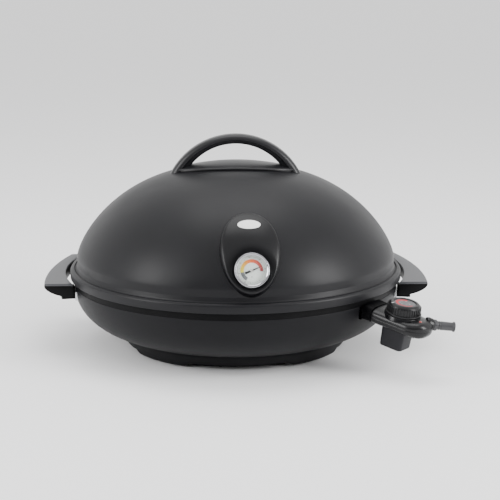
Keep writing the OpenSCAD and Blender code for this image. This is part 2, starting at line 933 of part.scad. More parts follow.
// Gauge housing
module pod_plan(inset) {
    polygon([
        for (i = [0 : pod_n - 1])
            [(pod_b - inset) * cos(i * 360 / pod_n), (pod_a - inset) * sin(i * 360 / pod_n)]
    ]);
}
module pod_solid(inset) {
    intersection() {
        translate([0, 0, -40])
        linear_extrude(80)
        pod_plan(inset);
        translate([0, 0, pod_h - pod_face_r])
        sphere(r = pod_face_r - inset, $fn = 128);
    }
}
module at_pod_screws() {
    for (s = [-1, 1])
        on_dome(gauge_turn - 90 + s * 4.5, pod_at - 27)
        children();
}
scoop_r = bezel_r + 1.5;
module gauge_housing() {
    color("#26272a")
    difference() {
        union() {
            difference() {
                at_pod()
                pod_solid(0);
                at_pod()
                pod_solid(pod_t);
            }
            intersection() {
                at_pod()
                pod_solid(0);
                union() {
                    at_gauge()
                    translate([0, 0, -bezel_h - pod_t])
                    cylinder(r1 = scoop_r + pod_t, r2 = scoop_r + 12 + pod_t, h = 12);
                    at_pod_screws()
                    cylinder(r = small_head_r + 1, h = 14, $fn = 48);
                }
            }
            at_gauge()
            translate([0, 0, -bezel_h - case_h])
            cylinder(r = case_r + pod_t, h = case_h - pod_t + 1);
        }
        dome_solid();
        at_gauge()
        translate([0, 0, -bezel_h])
        cylinder(r1 = scoop_r, r2 = scoop_r + 12, h = 12);
        at_gauge()
        translate([0, 0, -60])
        cylinder(r = case_r + fit_screw, h = 80);
        at_pod_screws()
        translate([0, 0, -1])
        cylinder(r = small_r + fit_screw, h = 9, $fn = 32);
    }
}
module badge_plan() {
    badge_end = badge_b * 0.6;
    side = ((badge_a - badge_end) * (badge_a - badge_end) + badge_b * badge_b - badge_end * badge_end)
        / (2 * (badge_b - badge_end));
    cut = (badge_a - badge_end) * (1 + badge_end / (side - badge_end));
    for (s = [-1, 1])
        translate([0, s * (badge_a - badge_end)])
        circle(r = badge_end, $fn = 48);
    intersection() {
        translate([side - badge_b, 0])
        circle(r = side, $fn = 128);
        translate([badge_b - side, 0])
        circle(r = side, $fn = 128);
        square([3 * badge_b, 2 * cut], center = true);
    }
}
module gauge_badge() {
    color("#f4f4f2")
    at_pod()
    intersection() {
        translate([-badge_up, 0, 0])
        linear_extrude(40)
        badge_plan();
        difference() {
            translate([0, 0, pod_h - pod_face_r])
            sphere(r = pod_face_r + 0.6, $fn = 128);
            translate([0, 0, pod_h - pod_face_r])
            sphere(r = pod_face_r, $fn = 128);
        }
    }
}
module housing_screws() {
    color("#c9ccd0")
    at_pod_screws()
    translate([0, 0, -lid_t - 0.3])
    small_screw(10);
}

// Gauge
lens_t = 1.5;
dial_t = 0.6;
dial_z = -bezel_h - 1;
module gauge_case() {
    color("#a9acb0")
    at_gauge()
    union() {
        difference() {
            translate([0, 0, -bezel_h - case_h])
            cylinder(r = case_r, h = case_h);
            translate([0, 0, -bezel_h - case_h + 2])
            cylinder(r = case_r - 1.2, h = case_h);
        }
        difference() {
            translate([0, 0, -bezel_h - case_h])
            cylinder(r = 4, h = dial_z - dial_t + bezel_h + case_h, $fn = 48);
            translate([0, 0, dial_z - dial_t - 3])
            cylinder(r = 0.9 + fit_run, h = 4, $fn = 32);
        }
        translate([0, 0, -bezel_h - case_h - stem_l])
        cylinder(r = stem_r, h = stem_l + 1, $fn = 48);
    }
}
module gauge_bezel() {
    color("#d5d7da")
    at_gauge()
    rotate_extrude()
    difference() {
        union() {
            translate([window_r, -bezel_h])
            square([bezel_r - window_r, bezel_h - (bezel_r - window_r) / 2]);
            translate([(bezel_r + window_r) / 2, -(bezel_r - window_r) / 2])
            circle(r = (bezel_r - window_r) / 2, $fn = 48);
        }
        translate([0, -bezel_h - 1])
        square([case_r - 1.2, bezel_h - 0.5]);
    }
}
module gauge_dial() {
    color("#e9e8e4")
    at_gauge()
    translate([0, 0, dial_z - dial_t])
    difference() {
        cylinder(r = case_r - 1.2 - fit_run, h = dial_t);
        translate([0, 0, -1])
        cylinder(r = 0.9 + fit_run, h = 3, $fn = 32);
    }
}
module gauge_lens() {
    color("#dfe8ee", 0.35)
    at_gauge()
    translate([0, 0, -1.5 - lens_t])
    cylinder(r = case_r - 1.2 - fit_run, h = lens_t);
}
nut_h = 4;
nut_back = 18.4;
module gauge_nut() {
    color("#a9acb0")
    at_gauge()
    translate([0, 0, -nut_back - nut_h])
    difference() {
        cylinder(r = stem_r + 2.8, h = nut_h, $fn = 6);
        translate([0, 0, -1])
        cylinder(r = stem_r + fit_run, h = nut_h + 2, $fn = 48);
    }
}
module gauge_needle() {
    color("#141414")
    at_gauge()
    rotate([0, 0, needle_turn])
    translate([0, 0, dial_z + 0.6])
    union() {
        cylinder(r = 2, h = needle_t + 0.4, $fn = 48);
        translate([0, 0, -3.2])
        cylinder(r = 0.9, h = 3.3, $fn = 32);
        linear_extrude(needle_t)
        polygon([[-0.55, 0], [0.55, 0], [0.25, needle_l], [-0.25, needle_l]]);
        linear_extrude(needle_t)
        polygon([[-0.9, -needle_tail], [0.9, -needle_tail], [0.7, 0], [-0.7, 0]]);
    }
}

// Controller
nose_w = shroud_w - 2 * shroud_t - 2 * fit_plug;
nose_h = shroud_h - 2 * shroud_t - 2 * fit_plug;
nose_l = shroud_l - shroud_t - 0.5;
module ctrl_half_profile(inset) {
    intersection() {
        rounded_rect(ctrl_w - 2 * inset, ctrl_h - 2 * inset, ctrl_round - inset);
        translate([0, -ctrl_h])
        square([ctrl_w, 2 * ctrl_h]);
    }
}
module ctrl_solid(inset, start) {
    union() {
        translate([start, 0, 0])
        bar(ctrl_w - 2 * inset, ctrl_h - 2 * inset, ctrl_round - inset, ctrl_l - ctrl_w / 2 - start);
        translate([ctrl_l - ctrl_w / 2, 0, 0])
        rotate_extrude()
        ctrl_half_profile(inset);
    }
}
module ctrl_shell() {
    difference() {
        ctrl_solid(0, 0);
        ctrl_solid(ctrl_t, ctrl_t);
    }
}
module at_relief() {
    at_plug()
    translate([ctrl_l - ctrl_w / 2, 0, relief_up])
    rotate([0, 0, relief_turn])
    translate([ctrl_w / 2, 0, 0])
    rotate([0, 90, 0])
    children();
}
module relief_hole() {
    at_relief()
    translate([0, 0, -8])
    cylinder(r = relief_r + 0.05, h = 20, $fn = 48);
}
module at_ctrl_screws() {
    at_plug()
    for (x = [ctrl_screw_in, ctrl_l - ctrl_screw_in - 6], y = [-ctrl_screw_y, ctrl_screw_y])
        translate([x, y, -ctrl_h / 2])
        children();
}
module controller_upper() {
    color("#232427")
    difference() {
        union() {
            at_plug()
            difference() {
                ctrl_shell();
                translate([-1, -ctrl_w, -ctrl_h])
                cube([ctrl_l + 2, 2 * ctrl_w, ctrl_h]);
            }
            at_ctrl_screws()
            translate([0, 0, ctrl_h / 2])
            cylinder(r = 3.2, h = ctrl_h / 2 - ctrl_t / 2, $fn = 48);
            at_knob()
            translate([0, 0, -6])
            cylinder(r = 7, h = 6 - ctrl_t / 2, $fn = 48);
        }
        at_knob()
        translate([0, 0, -20])
        cylinder(r = spindle_r + fit_run, h = 40, $fn = 48);
        at_plug()
        translate([ctrl_l - lamp_in, -6, 0])
        cylinder(r = lamp_r + 0.05, h = ctrl_h, $fn = 48);
        relief_hole();
        at_ctrl_screws()
        cylinder(r = small_r + fit_screw, h = ctrl_h / 2 + 7, $fn = 32);
        at_plug()
        translate([-1, 0, 0])
        rotate([0, 90, 0])
        cylinder(r = probe_r + 0.05, h = 12, $fn = 48);
        at_plug()
        for (y = [-pin_y, pin_y])
            translate([-1, y, 0])
            rotate([0, 90, 0])
            cylinder(r = pin_r + fit_run + 0.85, h = ctrl_t + 4, $fn = 48);
    }
}
module controller_lower() {
    color("#232427")
    difference() {
        union() {
            at_plug()
            difference() {
                union() {
                    ctrl_shell();
                    translate([-nose_l, 0, 0])
                    bar(nose_w, nose_h, shroud_round - shroud_t - fit_plug, nose_l + 1);
                }
                translate([0, -ctrl_w, 0])
                cube([ctrl_l + 2, 2 * ctrl_w, ctrl_h]);
            }
            at_ctrl_screws()
            translate([0, 0, ctrl_t / 2])
            cylinder(r = 3.2, h = ctrl_h / 2 - ctrl_t / 2, $fn = 48);
        }
        relief_hole();
        at_ctrl_screws()
        translate([0, 0, -1])
        cylinder(r = small_r + fit_screw, h = ctrl_h, $fn = 32);
        at_ctrl_screws()
        translate([0, 0, -1])
        cylinder(r = small_head_r + fit_screw, h = 1 + small_head_h, $fn = 48);
        at_plug()
        for (y = [-pin_y, pin_y])
            translate([-nose_l - 1, y, 0])
            rotate([0, 90, 0])
            cylinder(r = pin_r + fit_run + 0.85, h = nose_l + ctrl_t + 3, $fn = 48);
        at_plug()
        translate([-nose_l - 1, 0, 0])
        rotate([0, 90, 0])
        cylinder(r = probe_r + 0.05, h = nose_l + 12, $fn = 48);
        at_plug()
        translate([box_at + box_l / 2, 0, -ctrl_h])
        linear_extrude(ctrl_h)
        rounded_rect(box_l - 2 * ctrl_t, box_w - 2 * ctrl_t, 3);
    }
}
module controller_box() {
    color("#1f2023")
    at_plug()
    difference() {
        translate([box_at + box_l / 2, 0, -ctrl_h / 2 - box_h])
        linear_extrude(box_h)
        rounded_rect(box_l, box_w, 6);
        translate([box_at + box_l / 2, 0, -ctrl_h / 2 - box_h + ctrl_t])
        linear_extrude(box_h)
        rounded_rect(box_l - 2 * ctrl_t, box_w - 2 * ctrl_t, 4);
    }
}
module controller_screws() {
    color("#c9ccd0")
    at_ctrl_screws()
    translate([0, 0, small_head_h])
    small_screw(ctrl_h / 2 + 3);
}
module probe() {
    color("#c2c5c8")
    at_plug()
    translate([-probe_l, 0, 0])
    rotate([0, 90, 0])
    union() {
        translate([0, 0, 3])
        cylinder(r = probe_r, h = probe_l + 7, $fn = 48);
        cylinder(r1 = probe_r * 0.5, r2 = probe_r, h = 3, $fn = 48);
    }
}
module contact_sockets() {
    color("#c8b26a")
    at_plug()
    for (y = [-pin_y, pin_y])
        translate([-nose_l, y, 0])
        rotate([0, 90, 0])
        difference() {
            cylinder(r = pin_r + fit_run + 0.8, h = nose_l + ctrl_t + 2, $fn = 48);
            translate([0, 0, -1])
            cylinder(r = pin_r + fit_run, h = nose_l + ctrl_t + 1, $fn = 48);
        }
}
module thermostat_switch() {
    color("#c9c2b2")
    at_plug()
    difference() {
        translate([knob_at - 12, -9, -ctrl_h / 2 - box_h + ctrl_t])
        cube([20, 18, box_h - ctrl_t + 3]);
        translate([knob_at, 0, -ctrl_h / 2 - 10])
        cylinder(r = spindle_r + fit_run, h = 40, $fn = 48);
    }
}
module pilot_lamp() {
    color("#b5342c")
    at_plug()
    translate([ctrl_l - lamp_in, -6, 4])
    union() {
        cylinder(r = lamp_r, h = ctrl_h / 2 - 4, $fn = 48);
        translate([0, 0, ctrl_h / 2 - 4])
        sphere(r = lamp_r, $fn = 48);
        cylinder(r = lamp_r + 1.5, h = 2, $fn = 48);
    }
}
module strain_relief() {
    color("#1b1b1c")
    at_relief()
    difference() {
        union() {
            translate([0, 0, -6])
            cylinder(r = relief_r, h = 6 + relief_l, $fn = 48);
            translate([0, 0, 0.3])
            cylinder(r = relief_collar_r, h = 4, $fn = 48);
            translate([0, 0, relief_l - 2])
            cylinder(r = relief_r + 0.8, h = 2, $fn = 48);
        }
        translate([0, 0, -7])
        cylinder(r = cord_r, h = 9 + relief_l, $fn = 48);
    }
}

// Knob
module knob() {
    hub_r = spindle_r + 3;
    rib_r = knob_r - 1.5;
    step = 360 / knob_ribs;
    color("#2a2b2e")
    at_knob()
    difference() {
        union() {
            translate([0, 0, fit_gap])
            cylinder(r = knob_r, h = 3);
            translate([0, 0, fit_gap + 1])
            linear_extrude(knob_h / 2)
            polygon([for (i = [0:knob_ribs - 1], c = [[0, rib_r], [0.5, rib_r], [0.5, rib_r - 0.8], [1, rib_r - 0.8]])
                [c[1] * cos(step * (i + c[0])), c[1] * sin(step * (i + c[0]))]]);
            translate([0, 0, knob_h / 2])
            cylinder(r1 = rib_r - 0.8, r2 = knob_top_r, h = knob_h / 2);
        }
        translate([0, 0, knob_h - label_t - 1])
        cylinder(r = label_r + fit_screw, h = 5);
        difference() {
            translate([0, 0, fit_gap - 1])
            cylinder(r = knob_r - 5.5, h = knob_h - fit_gap - 3);
            cylinder(r = hub_r, h = knob_h, $fn = 48);
        }
        translate([0, 0, -1])
        cylinder(r = spindle_r + 0.05, h = knob_h - 5, $fn = 48);
    }
}
module knob_label() {
    color("#8a8c90")
    at_knob()
    translate([0, 0, knob_h - label_t - 1])
    cylinder(r = label_r, h = label_t);
}
module knob_spindle() {
    color("#b4b7bb")
    at_knob()
    translate([0, 0, -ctrl_h - 8])
    cylinder(r = spindle_r, h = ctrl_h + 8 + knob_h - 6, $fn = 48);
}

base_shell();
foot_pads();
heat_reflector();
reflector_screws();
drip_tray();
grip_body_left();
grip_cover_left();
grip_body_right();
grip_cover_right();
grip_plates();
grip_screws();
grill_plate();
heating_element();
element_clips();
clip_screws();
terminal_pins();
plug_shroud();
shroud_screws();
lid_shell();
lid_handle();
handle_washers();
handle_screws();
gauge_housing();
gauge_badge();
housing_screws();
gauge_case();
gauge_bezel();
gauge_dial();
gauge_lens();
gauge_nut();
gauge_needle();
controller_upper();
controller_lower();
controller_box();
controller_screws();
probe();
contact_sockets();
thermostat_switch();
pilot_lamp();
strain_relief();
knob();
knob_label();
knob_spindle();
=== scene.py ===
import math

import bmesh
import bpy
from mathutils import Matrix, Vector


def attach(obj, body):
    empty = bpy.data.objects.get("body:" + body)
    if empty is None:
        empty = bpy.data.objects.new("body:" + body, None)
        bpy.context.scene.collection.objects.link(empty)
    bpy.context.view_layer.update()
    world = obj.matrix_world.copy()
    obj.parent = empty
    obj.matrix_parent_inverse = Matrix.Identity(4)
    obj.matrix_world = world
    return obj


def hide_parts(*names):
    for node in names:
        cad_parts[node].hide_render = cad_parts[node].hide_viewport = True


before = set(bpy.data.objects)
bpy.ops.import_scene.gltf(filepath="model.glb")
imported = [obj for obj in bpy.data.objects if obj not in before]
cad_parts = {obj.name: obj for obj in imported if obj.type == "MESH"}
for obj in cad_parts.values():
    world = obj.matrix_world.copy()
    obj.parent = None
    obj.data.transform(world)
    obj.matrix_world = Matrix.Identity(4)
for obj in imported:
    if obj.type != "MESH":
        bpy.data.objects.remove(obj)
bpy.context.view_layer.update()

# Sizes are in millimetres and are made metres where a mesh is built.
MM = 0.001

BASE_R = 230.5
RIM_Z = 90.5
BOWL_Z = 10.0
WALL = 2.5
DOME_R = 226.0
DOME_Z = 129.0
DOME_H = 126.0
DOME_TOP = DOME_Z + DOME_H
LID_WALL = 2.0
PLUG_TURN = 40.0
PLUG_FALL = 10.0
CTRL_L = 78.0
CTRL_HALF_W = 25.0
CTRL_HALF_H = 11.0
KNOB_AT = 34.0
DIAL_R = 20.2
LABEL_R = 14.5
LABEL_TURN = 60
# The needle's angle at rest, and the housing's half length, half width and face.
NEEDLE_REST = 22
POD_LONG, POD_WIDE = 58, 39
FACE_R, FACE_DROP = 110, -95
# The badge's place on the housing, and its half height and half width.
BADGE_AT, BADGE_HIGH, BADGE_WIDE = -34.5, 7.5, 15
POST_AT = 120
POSTS = (90, 210, 330)
# Each side handle's two lugs: their azimuth and depth.
LUGS = ((-10.5, 20), (26, 40))
ELEMENT_R = 132


def turn(axis, degrees):
    return Matrix.Rotation(math.radians(degrees), 4, axis)


def move(x, y, z):
    return Matrix.Translation(Vector((x, y, z)) * MM)


def dome_height(r):
    """The height of the dome's skin at a distance from the middle."""
    if r >= DOME_R:
        return DOME_Z
    return DOME_Z + DOME_H * math.sin(math.acos((r / DOME_R) ** (1 / 0.79))) ** 1.43


def bowl_height(r, low=BOWL_Z, rim=BASE_R):
    """The height of the bowl's skin at a distance from the middle."""
    return RIM_Z - (RIM_Z - low) * math.sin(math.acos(min(r / rim, 1) ** (1 / 0.54))) ** 0.917


def on_dome(azimuth, r):
    """A place that stands square on the dome."""
    lean = math.degrees(math.atan2(dome_height(r - 1) - dome_height(r + 1), 2))
    return turn("Z", azimuth) @ move(r, 0, dome_height(r)) @ turn("Y", lean)


POD_AT = 202.5
POD = turn("Z", 3.8 - 90) @ move(POD_AT, 0, dome_height(POD_AT)) @ turn("Y", 90 - 37)
GAUGE = turn("Z", 3.8 - 90) @ move(231.5, 0, 157.2) @ turn("Y", 90 - 20)
PLUG = turn("Z", -PLUG_TURN) @ move(247, 0, 80.723) @ turn("Y", PLUG_FALL)
KNOB = PLUG @ move(KNOB_AT, 0, CTRL_HALF_H)
RELIEF = PLUG @ move(CTRL_L - CTRL_HALF_W, 0, 4) @ turn("Z", 44) @ move(25, 0, 0) @ turn("Y", 90)


# Shader and geometry trees
class Flow:
    """A socket that Python sums can be written with."""

    def __init__(self, works, socket):
        self.works, self.socket = works, socket

    def sum(self, operation, other, swap=False):
        pair = [other, self] if swap else [self, other]
        return self.works.node("ShaderNodeMath", {"operation": operation}, pair)

    def __add__(self, other):
        return self.sum("ADD", other)

    def __radd__(self, other):
        return self.sum("ADD", other, True)

    def __sub__(self, other):
        return self.sum("SUBTRACT", other)

    def __rsub__(self, other):
        return self.sum("SUBTRACT", other, True)

    def __mul__(self, other):
        return self.sum("MULTIPLY", other)

    def __rmul__(self, other):
        return self.sum("MULTIPLY", other, True)

    def __truediv__(self, other):
        return self.sum("DIVIDE", other)

    def __gt__(self, other):
        return self.sum("GREATER_THAN", other)

    def __lt__(self, other):
        return self.sum("LESS_THAN", other)


class Works:
    """A node tree that is wired up one node at a time."""

    def __init__(self, tree):
        self.tree = tree

    def fill(self, socket, value):
        """Gives a socket a value or a link, or several links where the value is a list."""
        for one in value if isinstance(value, list) else [value]:
            if isinstance(one, Flow):
                self.tree.links.new(one.socket, socket)
            elif one is not None:
                socket.default_value = one

    def other(self, flow, name):
        """Another output of the node that a socket belongs to."""
        return Flow(self, flow.socket.node.outputs[name])

    def node(self, kind, settings=None, inputs=(), out=0):
        """Adds a node, sets it up, then fills its sockets with values or links."""
        made = self.tree.nodes.new(kind)
        for key, value in (settings or {}).items():
            if key == "stops":
                while len(made.color_ramp.elements) < len(value):
                    made.color_ramp.elements.new(0.5)
                for element, (position, colour) in zip(made.color_ramp.elements, value):
                    element.position, element.color = position, colour
            else:
                setattr(made, key, value)
        for key, value in inputs.items() if isinstance(inputs, dict) else enumerate(inputs):
            self.fill(made.inputs[key], value)
        return Flow(self, made.outputs[out]) if made.outputs else None


def rgb(r, g, b):
    return (r, g, b, 1.0)


class Finish(Works):
    """A material built on one Principled shader."""

    def __init__(self, name, **fixed):
        self.material = bpy.data.materials.new(name)
        self.material.use_nodes = True
        super().__init__(self.material.node_tree)
        self.shader = self.tree.nodes["Principled BSDF"]
        self.set(**fixed)

    def set(self, **values):
        for key, value in values.items():
            self.fill(self.shader.inputs[key.replace("_", " ")], value)

    def where(self, scale=(1, 1, 1), rotation=(0, 0, 0)):
        """The point on the piece in metres, stretched or turned."""
        place = self.node("ShaderNodeTexCoord", out="Object")
        return self.node("ShaderNodeMapping", {}, {"Vector": place, "Rotation": rotation, "Scale": scale})

    def grain(self, scale, detail=3.0, vector=None):
        """Fractal noise in step with the piece."""
        values = {"Vector": vector or self.where(), "Scale": scale, "Detail": detail}
        return self.node("ShaderNodeTexNoise", {}, values)

    def mix(self, factor, one, two):
        """A blend of two colours, or of a colour and a link."""
        return self.node("ShaderNodeMix", {"data_type": "RGBA"}, {0: factor, 6: one, 7: two}, 2)

    def band(self, value, low, high):
        """A soft step from 0 at low to 1 at high."""
        return self.node(
            "ShaderNodeMapRange",
            {"interpolation_type": "SMOOTHSTEP"},
            {"Value": value, "From Min": low, "From Max": high},
        )

    def relief(self, height, strength=0.3, distance=0.0002):
        self.set(
            Normal=self.node(
                "ShaderNodeBump", {},
                {"Height": height, "Strength": strength, "Distance": distance},
            )
        )


def moulded(name, colour, rough, grain=1500.0, bump=0.25, spread=0.18, shine=0.3):
    """Moulded or sprayed skin: fine grain, faint clouds of tone and polish that varies with touch."""
    f = Finish(name, Specular_IOR_Level=shine)
    fine = f.grain(grain, 2.0)
    cloud = f.grain(14.0, 4.0)
    dark = rgb(*(c * (1 - spread) for c in colour))
    light = rgb(*(c * (1 + spread) for c in colour))
    tone = f.mix(f.band(cloud, 0.3, 0.7), dark, light)
    speck = f.band(f.grain(grain * 0.6, 1.0), 0.62, 0.75)
    f.set(Base_Color=f.mix(speck * 0.12, tone, rgb(*(min(c * 2.2, 1) for c in colour))))
    f.set(Roughness=rough - 0.05 + 0.07 * f.band(cloud, 0.25, 0.75) + 0.05 * fine)
    f.relief(fine + 0.4 * speck, bump)
    return f.material


def metal(name, colour, rough, stretch=(3, 3, 260), bump=0.06, tint=0.12):
    """Bare metal with drawn lines, faint stains and small scratches."""
    f = Finish(name, Metallic=1.0)
    lines = f.grain(12.0, 3.0, f.where(stretch))
    stain = f.grain(26.0, 4.0)
    low = rgb(*(c * (1 - tint) for c in colour))
    f.set(Base_Color=f.mix(f.band(stain, 0.35, 0.7), rgb(*colour), low))
    f.set(Roughness=rough + 0.16 * lines + 0.08 * stain - 0.1)
    f.relief(lines, bump, 0.0001)
    return f.material


LID_COAT = moulded("lid coat", (0.0055, 0.0055, 0.0068), 0.42, 1300, 0.16, 0.1, shine=0.22)
BOWL_PLASTIC = moulded("bowl plastic", (0.0055, 0.0055, 0.0066), 0.46, 1700, 0.3, shine=0.14)
HANDLE_PLASTIC = moulded("lid handle plastic", (0.008, 0.008, 0.0095), 0.34, 1600, 0.12, shine=0.34)
GRIP_PLASTIC = moulded("grip plastic", (0.003, 0.003, 0.0034), 0.45, 1500, 0.25, shine=0.1)
HOUSING_PLASTIC = moulded("housing plastic", (0.0028, 0.0028, 0.0036), 0.3, 1900, 0.06, shine=0.24)
CONTROL_PLASTIC = moulded("control plastic", (0.004, 0.004, 0.0048), 0.27, 1900, 0.06, shine=0.3)
BOX_PLASTIC = moulded("switch box plastic", (0.012, 0.012, 0.0145), 0.5, 1500, 0.25, shine=0.2)
SHROUD_PLASTIC = moulded("shroud plastic", (0.0015, 0.0015, 0.002), 0.42, 1500, 0.2, shine=0.06)
KNOB_PLASTIC = moulded("knob plastic", (0.006, 0.006, 0.0068), 0.34, 1600, 0.15, shine=0.3)
PAD_RUBBER = moulded("pad rubber", (0.012, 0.012, 0.012), 0.8, 900, 0.5, 0.3)
RELIEF_RUBBER = moulded("relief rubber", (0.04, 0.04, 0.043), 0.3, 1500, 0.15, shine=0.4)
BADGE_ENAMEL = moulded("badge enamel", (0.86, 0.86, 0.85), 0.24, 1200, 0.03, 0.02)
CERAMIC = moulded("switch ceramic", (0.62, 0.57, 0.48), 0.6, 700, 0.4, 0.12)
NEEDLE_PAINT = moulded("needle paint", (0.006, 0.006, 0.006), 0.5, 3000, 0.05)
INK = moulded("dial ink", (0.02, 0.02, 0.022), 0.5, 3000, 0.05)
KNOB_INK = moulded("knob ink", (0.6, 0.6, 0.6), 0.5, 3000, 0.05)
STEEL = metal("screw steel", (0.62, 0.63, 0.64), 0.3)
SHEET = metal("reflector sheet", (0.66, 0.67, 0.68), 0.34, (4, 90, 4))
BRACKET = metal("bracket steel", (0.7, 0.71, 0.72), 0.26)
BRASS = metal("contact brass", (0.72, 0.56, 0.3), 0.3)
CHROME = metal("bezel chrome", (0.4, 0.4, 0.42), 0.14, (6, 6, 6), 0.01, 0.1)
HUB_METAL = metal("needle hub", (0.72, 0.71, 0.68), 0.25)


def cover_finish():
    """Satin grey lacquer with fine flakes and a little more polish where hands rub; its grey is partly the
    cover's own and partly painted light from above on the handle's top.
    """
    f = Finish("cover lacquer", Metallic=0.35)
    flake = f.node("ShaderNodeTexVoronoi", {}, {"Vector": f.where(), "Scale": 2600.0})
    cloud = f.grain(18.0, 3.0)
    # Painted light: the grey tone and the flakes draw the top lighter than the grip plastic, partly its own
    # grey and partly light falling from above.
    tone = f.mix(f.band(cloud, 0.3, 0.7), rgb(0.06, 0.061, 0.067), rgb(0.075, 0.076, 0.082))
    f.set(Base_Color=f.mix(f.band(flake, 0.3, 0.0) * 0.35, tone, rgb(0.22, 0.22, 0.23)))
    f.set(Roughness=0.36 + 0.1 * cloud)
    f.relief(flake, 0.08, 0.0001)
    return f.material


def plate_finish():
    """Non-stick coat on cast metal: a pebbled skin with pale flecks."""
    f = Finish("plate coat", Specular_IOR_Level=0.08)
    pebble = f.node("ShaderNodeTexVoronoi", {"feature": "SMOOTH_F1"}, {"Vector": f.where(), "Scale": 900.0})
    fleck = f.band(f.node("ShaderNodeTexVoronoi", {}, {"Vector": f.where(), "Scale": 420.0}), 0.14, 0.06)
    cloud = f.grain(22.0, 4.0)
    tone = f.mix(f.band(cloud, 0.3, 0.7), rgb(0.0015, 0.0015, 0.0018), rgb(0.003, 0.003, 0.0034))
    f.set(Base_Color=f.mix(fleck * 0.35, tone, rgb(0.06, 0.06, 0.062)))
    f.set(Roughness=0.42 + 0.14 * cloud)
    f.relief(pebble + 0.3 * cloud, 0.35, 0.0003)
    return f.material


def element_finish():
    """Dull sheathed tube that has gone brown and blue with heat."""
    f = Finish("element sheath", Metallic=0.7)
    heat = f.grain(30.0, 5.0)
    tone = f.node(
        "ShaderNodeValToRGB",
        {
            "stops": [
                (0.25, rgb(0.07, 0.06, 0.055)), (0.5, rgb(0.16, 0.12, 0.09)),
                (0.75, rgb(0.10, 0.11, 0.13)),
            ]
        },
        [heat],
    )
    f.set(Base_Color=tone, Roughness=0.45 + 0.2 * f.grain(300.0))
    f.relief(f.grain(1400.0), 0.3)
    return f.material


def lens_finish():
    """Clear glass with a faint haze."""
    f = Finish("gauge glass", IOR=1.46, Specular_IOR_Level=0.25, Base_Color=rgb(0.95, 0.97, 0.97))
    haze = f.grain(90.0, 2.0)
    f.set(Roughness=0.03 + 0.05 * haze, Alpha=0.012 + 0.02 * haze)
    f.material.surface_render_method = "BLENDED"
    return f.material


def lamp_finish():
    """Red moulded lens of the pilot lamp, frosted in places."""
    f = Finish("pilot lens", Coat_Weight=0.8, Coat_Roughness=0.08)
    frost = f.grain(900.0, 2.0)
    f.set(
        Base_Color=f.mix(frost, rgb(0.16, 0.015, 0.012), rgb(0.34, 0.03, 0.02)),
        Roughness=0.2 + 0.2 * frost,
    )
    f.relief(frost, 0.1, 0.0001)
    return f.material


def polar(f):
    """How far out on a disc, as a share of its radius, and the angle in degrees from the right."""
    place = f.node(
        "ShaderNodeVectorMath", {"operation": "SUBTRACT"},
        [f.node("ShaderNodeUVMap", {"uv_map": "disc"}), (0.5, 0.5, 0)],
    )
    size = f.node("ShaderNodeVectorMath", {"operation": "LENGTH"}, [place], "Value") * 2.0
    split = f.node("ShaderNodeSeparateXYZ", {}, [place], "Y")
    across = f.other(split, "X")
    angle = f.node("ShaderNodeMath", {"operation": "ARCTAN2"}, [split, across]) * (180 / math.pi)
    return size, angle


def dial_finish():
    """White dial with a printed arc that runs from grey over yellow and orange to red."""
    f = Finish("dial print")
    size, angle = polar(f)
    # the angle is taken from the gap at the bottom of the arc, clockwise
    along = f.node("ShaderNodeMath", {"operation": "WRAP"}, [247.0 - angle, 360.0, 0.0])
    arc = f.band(size, 0.50, 0.515) * f.band(size, 0.735, 0.72)
    arc = arc * (along > 8.0) * (along < 252.0)
    tone = f.node(
        "ShaderNodeValToRGB",
        {
            "stops": [
                (0.0, rgb(0.09, 0.10, 0.11)),
                (0.155, rgb(0.10, 0.11, 0.11)),
                (0.165, rgb(0.72, 0.66, 0.01)),
                (0.30, rgb(0.80, 0.38, 0.005)),
                (0.40, rgb(0.78, 0.14, 0.005)),
                (0.52, rgb(0.60, 0.04, 0.008)),
                (0.68, rgb(0.26, 0.006, 0.01)),
            ]
        },
        [along / 360.0],
    )
    paper = f.mix(f.grain(300.0), rgb(0.62, 0.67, 0.63), rgb(0.69, 0.73, 0.70))
    halo = f.band(size, 0.40, 0.52) * f.band(size, 0.80, 0.70) * (along > 60.0) * (along < 245.0)
    paper = f.mix(halo * 0.22, paper, rgb(0.80, 0.50, 0.30))
    f.set(Base_Color=f.mix(arc, paper, tone), Roughness=0.45 + 0.08 * f.grain(500.0))
    f.relief(arc, 0.15, 0.0001)
    return f.material


def label_finish():
    """Grey satin disc with a red wedge that grows with the heat setting."""
    f = Finish("knob label print")
    size, angle = polar(f)
    along = f.node("ShaderNodeMath", {"operation": "WRAP"}, [225.0 - angle, 360.0, 0.0])
    share = along / 270.0
    wedge = (size < 0.86) * (size > (0.80 - 0.30 * share)) * (share < 1.0) * (share > 0.06)
    brushed = f.grain(60.0, 2.0, f.where((1, 1, 30)))
    grey = f.mix(brushed, rgb(0.06, 0.062, 0.066), rgb(0.10, 0.102, 0.106))
    f.set(Base_Color=f.mix(wedge, grey, rgb(0.42, 0.012, 0.022)), Roughness=0.34 + 0.14 * brushed)
    f.relief(wedge + 0.2 * brushed, 0.12, 0.0001)
    return f.material


COVER_LACQUER_AND_TOP_LIGHT = cover_finish()
PLATE_COAT = plate_finish()
ELEMENT_SHEATH = element_finish()
GLASS = lens_finish()
LAMP_LENS = lamp_finish()
DIAL_PRINT = dial_finish()
LABEL_PRINT = label_finish()


# Meshes
def stand(name, data):
    """An object in the scene that holds this mesh, light or camera."""
    made = bpy.data.objects.new(name, data)
    bpy.context.scene.collection.objects.link(made)
    return made


def compass(count):
    """The cosine and sine of each step round a circle."""
    return [(math.cos(2 * math.pi * k / count), math.sin(2 * math.pi * k / count)) for k in range(count)]


